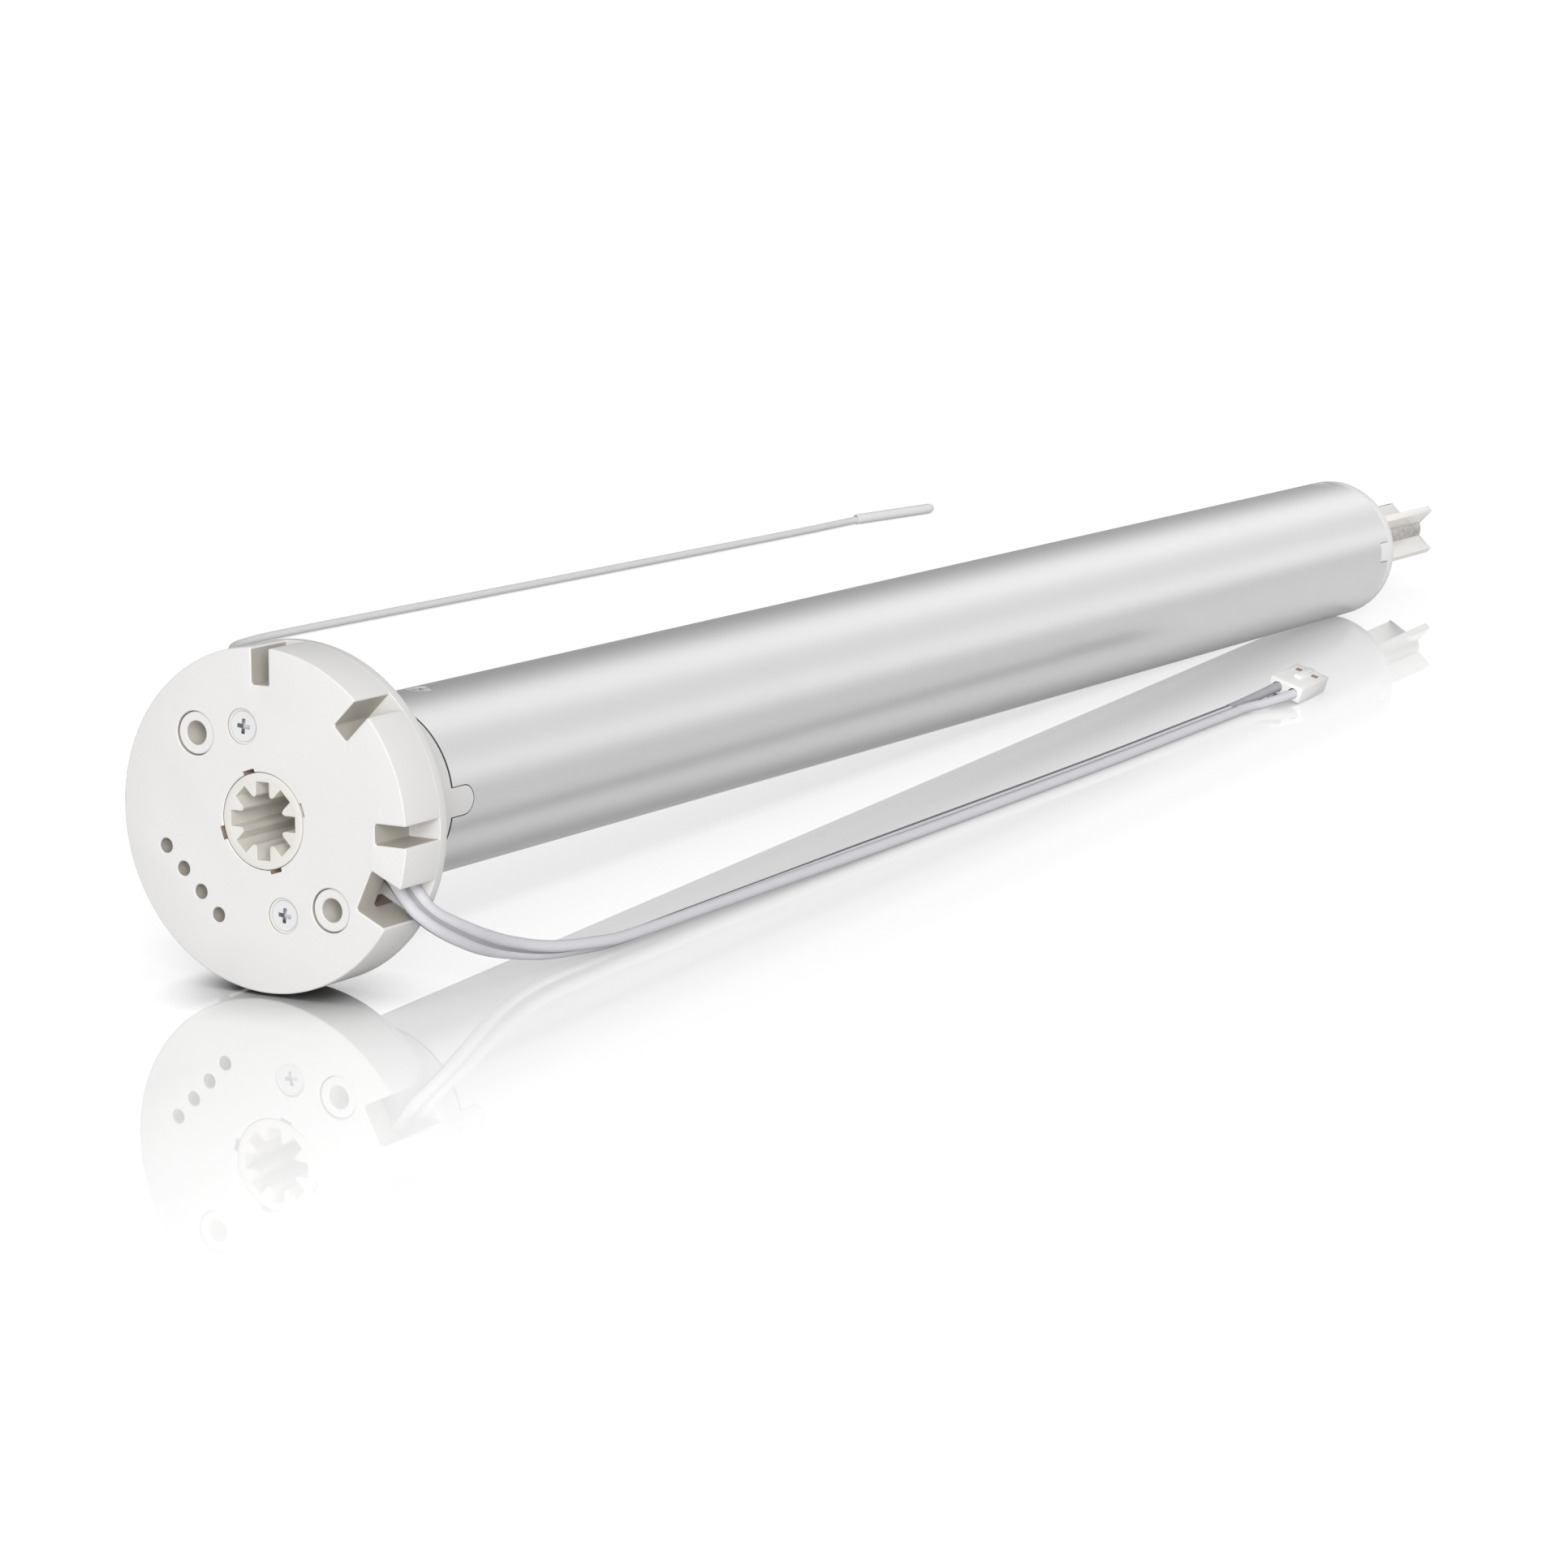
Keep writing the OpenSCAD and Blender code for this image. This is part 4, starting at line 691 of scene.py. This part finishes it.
# %% [markdown]
# The head's cover is a disc whose rim is cut by three locking slots and by a wider
# slot for the lead. A Boolean cut through a round rim leaves slivers that spoil a
# bevel, so the outline is walked instead: round stretches as arcs, with the corners of
# each slot between them. The face is then extruded and its sharp edges are bevelled,
# and only the round holes in the flat front are cut afterwards.

# %% Head cover
front_wall = 2.2
slots = [(0, 3, 19.6), (45, 3, 19.6), (90, 3, 19.6), (115, 6.4, 19.4)]


def slotted_outline(radius, cuts, step=2.0):
    """Points round a disc in the y z plane, with slots cut in from its rim."""
    points = []
    for k, (angle, width, floor_r) in enumerate(cuts):
        half = math.degrees(math.asin(width / 2 / radius))
        next_angle, next_width = cuts[(k + 1) % len(cuts)][:2]
        next_half = math.degrees(math.asin(next_width / 2 / radius))
        turn = clock(angle)
        for side, out in ((1, radius * math.cos(math.radians(half))), (1, floor_r),
                          (-1, floor_r), (-1, radius * math.cos(math.radians(half)))):
            points.append(turn @ Vector((0, side * width / 2, out)))
        start = angle + half
        stop = (next_angle - next_half - start) % 360
        count = max(2, round(stop / step))
        for j in range(1, count):
            points.append(clock(start + stop * j / count) @ Vector((0, 0, radius)))
    return points


def pushed(bm, faces, distance):
    """Extrudes flat faces along x."""
    grown = bmesh.ops.extrude_face_region(bm, geom=faces)
    verts = [v for v in grown["geom"] if isinstance(v, bmesh.types.BMVert)]
    bmesh.ops.translate(bm, verts=verts, vec=(distance, 0, 0))
    bmesh.ops.recalc_face_normals(bm, faces=bm.faces)
    return bm


def extruded(points, x0, x1):
    """A flat outline in the y z plane, extruded along x."""
    bm = bmesh.new()
    face = bm.faces.new([bm.verts.new((x0, p.y, p.z)) for p in points])
    return pushed(bm, [face], x1 - x0)


def round_edges(bm, width, keep, segments=3, angle=40):
    """Bevels the edges that are sharper than an angle and that keep() picks."""
    edges = [e for e in bm.edges if len(e.link_faces) == 2
             and e.calc_face_angle(0) > math.radians(angle) and keep(e)]
    bmesh.ops.bevel(bm, geom=edges, offset=width, segments=segments, profile=0.5,
                    affect="EDGES", material=-1)
    return len(edges)


def hole(angle, radius, profile, shift=0.0, steps=64):
    """A turned cutter or post, set at a clock angle and at a distance from the axis."""
    return moved(turned(profile, steps), clock(angle) @ Matrix.Translation((0, -shift, radius)))


def mouth(r, deep, chamfer=0.12):
    """The profile of a hole with a slightly flared mouth."""
    return [(-1, 0), (-1, r + chamfer + 1), (0, r + chamfer), (chamfer, r), (deep, r), (deep, 0)]


cover = extruded(slotted_outline(head_d / 2, slots), 0, cover_t)
rounded = round_edges(cover, 0.3, lambda e: min(v.co.x for v in e.verts) < cover_t - 0.01)
print("Cover edges rounded", rounded, "faces", len(cover.faces))

# %% Holes of the cover
bracket_r = 16.6
bracket_clocks = (-45, 135)
post_d, post_bore = 6.2, 3.5
screw_r = 13.8
screw_clock = -14
screw_head_d = 4.4
recess_t = 0.4
socket_d = 14
socket_gap = 0.1
notch_w, notch_reach, notch_clock = 2, 0.6, -18
row_r, row_pitch, row_hole_d = 16, 4.35, 2.2
through = cover_t + 1

post_gap = 0.15
cuts = [hole(a, bracket_r, mouth(post_d / 2 + post_gap, through)) for a in bracket_clocks]
screw_head_r = screw_head_d / 2
screw_recess = [(-1, 0), (-1, screw_head_r + 1.5), (0, screw_head_r + 0.5), (0.1, screw_head_r + 0.4),
                (recess_t, screw_head_r + 0.4), (recess_t, screw_head_r + 0.05), (1.7, 1.5),
                (through, 1.5), (through, 0)]
cuts += [hole(screw_clock + a, screw_r, screw_recess) for a in (0, 180)]
cuts += [hole(-135, row_r, mouth(row_hole_d / 2, front_wall + 0.6), shift=k * row_pitch, steps=32)
         for k in range(-1, 3)]
cover = combine(cover, gather(*cuts))

socket_cut = turned(mouth(socket_d / 2 + socket_gap, through, 0.15), 96)
notch_cuts = [moved(block((-1, -notch_w / 2, 4), (through, notch_w / 2, socket_d / 2 + notch_reach)),
                    clock(notch_clock + 90 * k)) for k in range(4)]
cover = combine(cover, gather(socket_cut, *notch_cuts), overlapping=True)

lead_slot_clock, lead_slot_floor = slots[3][0], slots[3][2]
window_low, window_high = Vector((4.2, -3.2, 11.5)), Vector((cover_t + 1, 3.2, 20))
cover = combine(cover, moved(block(window_low, window_high), clock(lead_slot_clock)))
head_cover = link("head_cover_shell", cover, "head_plastic")


def off_axis(place):
    return math.hypot(place.y, place.z)


def in_window(place, normal):
    spot = clock(-lead_slot_clock) @ place
    inside = all(low - 0.01 < c < high + 0.01 for low, c, high in zip(window_low, spot, window_high))
    return inside and spot.z < lead_slot_floor - 0.1


# The walls of the cover's slots and holes are darker and warmer: painted shade in the recesses.
refinish(head_cover, "head_inside", lambda place, normal: abs(normal.x) < 0.5
         and off_axis(place) < head_d / 2 - 0.5)
refinish(head_cover, "notch_shade", lambda place, normal: abs(normal.x) < 0.5
         and socket_d / 2 + socket_gap + 0.03 < off_axis(place) < socket_d / 2 + notch_reach + 0.1)
# The walls of the window in the lead's slot are dark brown: painted shade for the hollow behind it.
refinish(head_cover, "head_hollow", in_window)
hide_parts("head_cover")
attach(head_cover, "fixed")
print("Cover faces", len(head_cover.data.polygons))

# %% [markdown]
# Behind the cover sits the head's body: the flange that closes the cover, the collar
# that carries the tube, and the tongue with a round tip that keys into it. Most of it
# is turned, and the tongue and the two bracket posts are joined to it.

# %% Head body
collar_wall = 2
plug_len = 20
inner_d = tube_d - 2 * tube_wall - 0.2
tab_w, tab_len, tab_clock = 4.3, 5.2, 91
seam = 0.2


def tongue(width, length, r_out, deep, x0):
    """A key with a round tip that runs along the tube."""
    straight = x0 + length - width / 2
    bar = block((x0, -width / 2, r_out - deep), (straight, width / 2, r_out + 1))
    tip = rod((straight, 0, r_out - deep), (straight, 0, r_out + 1), width / 2, 48)
    return combine(bar, tip, "UNION")


def keyed(key, angle, x0, x1):
    """A key turned to its clock angle, with its outside cut to the tube's round."""
    skin = turned([(x0, 0), (x0, tube_d / 2), (x1, tube_d / 2), (x1, 0)], 192)
    return combine(moved(key, clock(angle)), skin, "INTERSECT")


flange_r = head_d / 2
body_profile = [
    (cover_t, socket_d / 2 + socket_gap), (cover_t, flange_r - 0.08), (cover_t + 0.08, flange_r)]
body_profile += corner(collar_x, flange_r, (-1, 0), (0, -1), 0.3)
collar_end, plug_end = tube_x - seam, tube_x + plug_len
body_profile += [(collar_x, tube_d / 2 + 0.3), (collar_x + 0.3, tube_d / 2), (collar_end - 0.08, tube_d / 2),
                 (collar_end, tube_d / 2 - 0.08), (collar_end, inner_d / 2), (plug_end, inner_d / 2),
                 (plug_end, inner_d / 2 - collar_wall), (15.2, inner_d / 2 - collar_wall),
                 (15.2, socket_d / 2 + socket_gap)]
body = turned(body_profile, 192)
key = tongue(tab_w, tab_len + 0.5, tube_d / 2, 1.6, tube_x - 0.5)
body = combine(body, keyed(key, tab_clock, tube_x - 1, tube_x + 12), "UNION")
post_profile = [(0.3, post_bore / 2 + 0.12), (0.42, post_bore / 2), (cover_t + 0.5, post_bore / 2),
                (cover_t + 0.5, post_d / 2), (0.45, post_d / 2), (0.3, post_d / 2 - 0.15)]
posts = [hole(a, bracket_r, post_profile) for a in bracket_clocks]
body = combine(body, gather(*posts), "UNION")
post_hole = [(0, 0), (0, post_bore / 2), (collar_x + 1, post_bore / 2), (collar_x + 1, 0)]
bores = [hole(a, bracket_r, post_hole) for a in bracket_clocks]
body = combine(body, gather(*bores))
head_body = link("head_body_shell", body, "head_plastic")
refinish(head_body, "bore_shade", lambda place, normal: abs(normal.x) < 0.5 and any(
    (clock(-a) @ place - Vector((place.x, 0, bracket_r))).length < post_bore / 2 + 0.05
    for a in bracket_clocks))
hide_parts("head_body")
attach(head_body, "fixed")
print("Body faces", len(head_body.data.polygons))

# %% [markdown]
# The bracket's stud plugs into a splined socket. Its section is an outer circle with
# eight square grooves inside, so the two outlines are drawn as loops, the region
# between them is filled, and the fill is extruded. The edges at the mouth are rounded,
# because that is where the moulding catches the light.

# %% Spline socket
groove_d, tooth_d, groove_w, groove_n = 11.5, 7.5, 2.25, 8
socket_depth = 16
socket_back = 17.4


def loop(bm, points, x):
    """A closed ring of edges in the y z plane."""
    verts = [bm.verts.new((x, p.y, p.z)) for p in points]
    return [bm.edges.new((a, b)) for a, b in zip(verts, verts[1:] + verts[:1])]


def armed_outline(core_r, reach, width, count, start, steps):
    """Points round a disc that has square arms, or a hole that has square grooves."""
    points = []
    half = math.degrees(math.asin(width / 2 / core_r))
    root = core_r * math.cos(math.radians(half))
    out = math.sqrt(reach**2 - (width / 2) ** 2)
    step = 360 / count
    for k in range(count):
        angle = start + k * step
        for side, height in ((1, root), (1, out), (-1, out), (-1, root)):
            points.append(clock(angle) @ Vector((0, side * width / 2, height)))
        for j in range(1, steps):
            points.append(clock(angle + half + (step - 2 * half) * j / steps) @ Vector((0, 0, core_r)))
    return points


def circle(radius, steps):
    return [clock(360 * k / steps) @ Vector((0, 0, radius)) for k in range(steps)]


def between(outer, inner, x0, x1):
    """The region between two outlines, extruded along x."""
    bm = bmesh.new()
    edges = loop(bm, outer, x0) + loop(bm, inner, x0)
    filled = bmesh.ops.triangle_fill(bm, use_beauty=True, edges=edges)
    return pushed(bm, [f for f in filled["geom"] if isinstance(f, bmesh.types.BMFace)], x1 - x0)


splines = armed_outline(tooth_d / 2, groove_d / 2, groove_w, groove_n, 0, 3)
socket = between(circle(socket_d / 2, 96), splines, 0.1, socket_depth)
tips = round_edges(socket, 0.3, lambda e: all(math.hypot(v.co.y, v.co.z) < 4 for v in e.verts)
                   and abs(e.verts[0].co.x - e.verts[1].co.x) > 1)
rounded = round_edges(socket, 0.14, lambda e: max(v.co.x for v in e.verts) < 0.11, segments=2)
back_r = socket_d / 2 + 1
back_x = socket_depth - 0.01
back = turned([(back_x, 0), (back_x, back_r), (socket_back, back_r), (socket_back, 0)], 96, closed=False)
spline_socket = link("spline_socket_sleeve", gather(socket, back), "socket_plastic")
refinish(spline_socket, "bore_shade", lambda place, normal: abs(normal.x) < 0.5 and off_axis(place) < 6)
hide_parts("spline_socket")
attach(spline_socket, "fixed")
print("Socket edges rounded", tips + rounded)

# %% [markdown]
# Four small screws show: two hold the cover, and one at each end holds the tube. They
# are zinc plated, countersunk and cross headed. A screw is turned, and its recess is
# cut by two tapering wings that cross, as the tip of a driver does.

# %% Cross head screws
def driver_tip(width, deep):
    """Two crossing wings that taper with depth."""
    wings = []
    for a in (0, 90):
        wing = block((-0.4, -width / 2, -width * 0.12), (deep, width / 2, width * 0.12))
        for v in wing.verts:
            if v.co.x > 0:
                v.co.y *= 0.5
        wings.append(moved(wing, clock(a)))
    return combine(*wings, "UNION")


def cross_screw(head, head_t, shank, length, turn=20):
    """A countersunk screw that points along x, with its head's face at 0."""
    profile = [(-0.04, 0), (0, head * 0.3), (0.04, head / 2 - 0.1), (0.14, head / 2), (0.24, head / 2 - 0.02),
               (head_t, shank / 2), (length, shank / 2), (length, 0)]
    screw = turned(profile, 64, closed=False)
    screw = combine(screw, moved(driver_tip(head * 0.6, head_t * 0.75), clock(turn)))
    for face in screw.faces:
        middle = face.calc_center_median()
        face.material_index = int(middle.x > 0.06 and math.hypot(middle.y, middle.z) < head * 0.32)
    return screw


cover_head_t, cover_shank, cover_screw_len = 1.25, 2.8, 9.4
tube_screw_head, tube_head_t, tube_shank, tube_screw_len = 4, 0.8, 2.4, 4.1
head_end_inset, drive_end_inset = 11.3, 3.6
cover_screws = [moved(cross_screw(screw_head_d - 0.1, cover_head_t, cover_shank, cover_screw_len),
                      clock(screw_clock + a) @ Matrix.Translation((recess_t + 0.02, 0, screw_r)))
                for a in (0, 180)]
cover_screw_pair = link("cover_screws", gather(*cover_screws), "screw_zinc")
tube_screw_x = [tube_x + head_end_inset, tube_end - drive_end_inset]
point_down = Matrix.Rotation(math.radians(90), 4, "Y")
tube_screws = [moved(cross_screw(tube_screw_head, tube_head_t, tube_shank, tube_screw_len),
                     Matrix.Translation((x, 0, tube_d / 2 - 0.08)) @ point_down)
               for x in tube_screw_x]
tube_screw_pair = link("tube_end_screws", gather(*tube_screws), "screw_zinc")
for piece in (cover_screw_pair, tube_screw_pair):
    piece.data.materials.append(finishes["recess_steel"])
    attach(piece, "fixed")
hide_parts("tube_screws")
print("Screws", len(cover_screws) + len(tube_screws))

# %% [markdown]
# The tube is one long drawn pipe. At the head's end a round notch takes the tongue, at
# the far end a square notch takes the end ring's key, and each screw sits in a small
# countersink. The pipe is spun with a fine edge break, and the four cuts are Booleans.

# %% Tube
tab_gap = 0.15
ring_tab_w, ring_tab_len, ring_tab_clock = 3.8, 3.6, 88
edge_break = 0.12
tube_r = tube_d / 2
bore_r = tube_r - tube_wall
pipe = turned([(tube_x, bore_r), (tube_x, tube_r - edge_break), (tube_x + edge_break, tube_r),
               (tube_end - edge_break, tube_r), (tube_end, tube_r - edge_break), (tube_end, bore_r)], 192)
head_notch = tongue(tab_w + 2 * tab_gap, tab_len + tab_gap + 1, tube_r + 1, 3, tube_x - 1)
ring_notch = block((tube_end - ring_tab_len - tab_gap, -ring_tab_w / 2 - tab_gap, tube_r - 2),
                   (tube_end + 1, ring_tab_w / 2 + tab_gap, tube_r + 1))
sink_profile = [(-1, 0), (-1, 3.1), (0.9, 1.3), (3, 1.3), (3, 0)]
sinks = [moved(turned(sink_profile, 48), Matrix.Translation((x, 0, tube_r + 0.02)) @ point_down)
         for x in tube_screw_x]
notches = [moved(head_notch, clock(tab_clock)), moved(ring_notch, clock(ring_tab_clock))]
pipe = combine(pipe, gather(*notches, *sinks))
tube = link("housing_tube_skin", pipe, "tube_aluminium")
# The tube's end face and the walls of its notch near the head are dark grey: a painted shadow line at the
# seam with the collar.
refinish(tube, "cut_edge", lambda place, normal: place.x < tube_x + 8
         and (bore_r + 0.05 < off_axis(place) < tube_r - 0.1 or normal.x < -0.5))
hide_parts("housing_tube")
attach(tube, "fixed")
print("Tube faces", len(tube.data.polygons))

# %% [markdown]
# The drive end closes with a white ring and the cross shaped shaft. The shaft is a
# zinc casting: a round core with four arms, whose edges are softened as a casting's
# are. The arms are one crossed outline, extruded.

# %% End ring
bush_r = 9.05
spigot_x = tube_end - 18
ring_profile = [(tube_end, bush_r + 0.05), (tube_end, tube_r)]
ring_profile += corner(ring_end, tube_r, (-1, 0), (0, -1), 0.45)
ring_profile += [(ring_end, bush_r + 0.3), (ring_end - 0.25, bush_r + 0.05)]
ring = turned(ring_profile, 192)
ring_key = block((tube_end - ring_tab_len, -ring_tab_w / 2, tube_r - 1.6),
                 (tube_end + 0.2, ring_tab_w / 2, tube_r + 1))
ring = combine(ring, keyed(ring_key, ring_tab_clock, tube_end - 6, ring_end - 1), "UNION")
end_ring = link("drive_end_cap_ring", ring, "ring_plastic")
spigot = turned([(spigot_x, bush_r + 0.05), (spigot_x, inner_d / 2), (tube_end, inner_d / 2),
                 (tube_end, bush_r + 0.05)], 96)
end_spigot = link("drive_end_spigot", spigot, "head_plastic")
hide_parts("drive_end_ring")
for piece in (end_ring, end_spigot):
    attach(piece, "fixed")
print("Ring faces", len(end_ring.data.polygons))

# %% Output shaft
arm_r, arm_t, core_d = 6.5, 1.5, 5.6
journal_d = 13.4
journal_start, journal_end = 345.45, ring_end - 0.8
core_end = shaft_end - 0.6


def crossbar(angle, x0, x1):
    """Two opposite arms, cut square."""
    y, z = arm_t / 2, math.sqrt(arm_r**2 - arm_t**2 / 4)
    corners = ((y, z), (-y, z), (-y, -z), (y, -z))
    return extruded([clock(angle) @ Vector((0, *c)) for c in corners], x0, x1)


arms = extruded(armed_outline(core_d / 2, arm_r, arm_t, 4, 45, 6), journal_end - 0.3, core_end)
arm_tips = [crossbar(angle, core_end - 0.5, shaft_end) for angle in (45, 135)]
arms = combine(arms, combine(*arm_tips, "UNION"), "UNION")
journal = turned([(journal_start, 0), (journal_start, journal_d / 2), (journal_end - 0.4, journal_d / 2),
                  (journal_end, journal_d / 2 - 0.4), (journal_end, 0)], 96, closed=False)
arms = combine(arms, journal, "UNION")
bmesh.ops.dissolve_limit(arms, angle_limit=math.radians(1), verts=arms.verts, edges=arms.edges)
rounded = round_edges(arms, 0.14, lambda e: min(v.co.x for v in e.verts) > journal_end + 0.1, segments=2)
output_shaft = link("output_cross_shaft", arms, "cast_alloy")
refinish(output_shaft, "rough_cast", lambda place, normal: abs(normal.x) < 0.5
         and place.x > journal_end and off_axis(place) < core_d / 2 + 0.05)
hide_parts("output_shaft")
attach(output_shaft, "output")
print("Shaft edges rounded", rounded)

# %% [markdown]
# The CAD pieces that stay get their finish by the record's material slots, which have
# the finishes' names, so the gears, the motor and the board look right wherever a gap or
# a turned view shows them.

# %% Finish the CAD pieces
for subpart in frame["record"]["subparts"]:
    mesh = frame["nodes"][subpart["node"]].data
    finish = finishes[subpart["material_slot"]]
    for k in range(len(mesh.materials)):
        mesh.materials[k] = finish
    if not mesh.materials:
        mesh.materials.append(finish)

# %% [markdown]
# The studio is a pale polished table under soft light. The table is a plain plane whose mirror starts under
# the motor and fades out towards the viewer's right. The camera sees a little extra white in it, so that the
# background is white while the motor is lit at a plain level. That white and the table's colour are darkened
# where the table is hemmed in, a lot under the head and a little under the tube: a painted shadow, which
# seats the motor on it.

# %% Table
table_half = 8.0
table_bm = bmesh.new()
bmesh.ops.create_grid(table_bm, x_segments=1, y_segments=1, size=table_half,
                      matrix=Matrix.Translation((0, 0, floor_z * MM - 0.0001)))
table_finish = Finish("table_white", (0.80, 0.80, 0.80), 0.5, specular=0.0)
place = table_finish.node("ShaderNodeTexCoord", output="Object")
table_tone = 0.62
seen_white, reflected_white = 0.68, 0.29
mirror_share, mirror_tone = 0.5, (0.85, 0.85, 0.85, 1)
head_reach, tube_reach, tube_shadow_share = 0.016, 0.03, 0.14


def along_table(axis, low, high, low_value, high_value):
    """A value that changes between two places along the table, in metres."""
    where = table_finish.node("ShaderNodeSeparateXYZ", None, {0: place}, output=axis)
    return table_finish.node("ShaderNodeMapRange", None, {
        "Value": where, "From Min": low, "From Max": high, "To Min": low_value, "To Max": high_value})


def room(reach):
    """How open the table is, from 0 to 1, to what stands within a reach."""
    return table_finish.node("ShaderNodeAmbientOcclusion", {"samples": 8}, {"Distance": reach}, output="AO")


# A painted shadow: near the head and under the tube, the table's colour and its white are darkened by how
# hemmed in the table is.
head_shadow_area = (along_table("X", 0.008, 0.02, 1.0, 0.0) * along_table("Y", -0.024, -0.008, 0.0, 1.0)
              * along_table("Y", 0.006, 0.018, 1.0, 0.0))
painted_shadow_tone = (1.0 - head_shadow_area * (1.0 - room(head_reach))) * (1 - tube_shadow_share + room(tube_reach) * tube_shadow_share)
table_finish.put(table_finish.shader.inputs["Base Color"], painted_shadow_tone * table_tone)
seen = table_finish.node("ShaderNodeLightPath", output="Is Camera Ray")
reflected = table_finish.node("ShaderNodeLightPath", output="Is Glossy Ray")
white = (seen * seen_white + reflected * reflected_white) * painted_shadow_tone * painted_shadow_tone
glow = table_finish.node("ShaderNodeEmission", None, {"Strength": white})
lit = table_finish.node("ShaderNodeAddShader", None, {0: table_finish.shader.outputs[0], 1: glow})
mirror = table_finish.node("ShaderNodeBsdfGlossy", None, {"Color": mirror_tone, "Roughness": 0.0})
fade = along_table("Y", -0.085, -0.015, 0.0, mirror_share) * along_table("Y", 0.001, 0.006, 1.0, 0.0)
mixed = table_finish.node("ShaderNodeMixShader", None, {0: fade, 1: lit, 2: mirror})
table_finish.put(table_finish.tree.nodes["Material Output"].inputs["Surface"], mixed)
finishes["table_white"] = table_finish.material
table = link("table", table_bm, "table_white", Matrix.Identity(4))
print("Table at", round(floor_z, 2), "mm")

# %% [markdown]
# A metal tube shows nothing but its surroundings, so the surroundings are drawn: the
# world's tone depends on the angle round the motor's axis. A bright band stands
# overhead, a second one low on the viewer's right, and the far left is dark. Matt
# pieces are lit evenly, and the table's mirror sees plain white.

# %% Surroundings
world = bpy.data.worlds.new("studio")
world.use_nodes = True
bpy.context.scene.world = world
# The world's tree takes the helpers of a finish, but it has no material and no shader.
studio = Finish.__new__(Finish)
studio.tree = world.node_tree
studio.tree.nodes.clear()
direction = studio.node("ShaderNodeTexCoord", output="Generated")
onward, leftward, upward = (
    studio.node("ShaderNodeSeparateXYZ", None, {0: direction}, output=axis) for axis in "XYZ")
around = studio.node("ShaderNodeMath", {"operation": "ARCTAN2"}, {0: upward, 1: leftward * -1.0})
turn = around * (0.5 / math.pi) + 0.5


def band(degrees, tone):
    """A stop of the surroundings: an angle above the viewer's right, and a tone."""
    return ((degrees + 180) / 360, tone)


bands = [band(-40, 0.9), band(-8, 1.12), band(4, 1.22), band(20, 1.22), band(34, 0.97), band(62, 0.97),
         band(74, 1.3), band(104, 1.3), band(124, 0.62), band(150, 0.42), band(176, 0.38)]
tones = studio.node("ShaderNodeValToRGB", {"stops": bands}, {"Fac": turn})
away = studio.node("ShaderNodeMapRange", None,
                   {"Value": onward, "From Min": 0.80, "From Max": 0.90, "To Min": 1.0, "To Max": 1.2})
even = 0.5
mirrored_white = 1.47
glossy = studio.node("ShaderNodeLightPath", output="Is Glossy Ray")
mirrored = studio.node("ShaderNodeLightPath", output="Is Singular Ray")
tone = glossy * (tones * away - even) + even
tone = mirrored * (mirrored_white - tone) + tone
background = studio.node("ShaderNodeBackground", None, {"Strength": tone})
world_output = studio.tree.nodes.new("ShaderNodeOutputWorld")
studio.put(world_output.inputs["Surface"], background)
print("Surroundings have", len(bands), "stops")

# %% [markdown]
# One broad sun from the viewer's right gives the matt pieces their shape. Metal doesn't
# see it, because a tube would show it as a burnt white stripe from behind.

# %% Soft sun
sun_data = bpy.data.lights.new("soft_sun", "SUN")
sun_data.energy = 2.48
sun_data.angle = math.radians(45)
sun = bpy.data.objects.new("soft_sun", sun_data)
sun_from = Vector((-0.79, -0.57, 0.29))
sun.matrix_world = (sun_from * -1).to_track_quat("-Z", "Y").to_matrix().to_4x4()
sun.visible_glossy = False
bpy.context.scene.collection.objects.link(sun)
print("Sun from", list(sun_from))

# %% [markdown]
# Last comes the view transform, under which a colour renders as it is written.

# %% Picture settings
bpy.context.scene.view_settings.view_transform = "Standard"
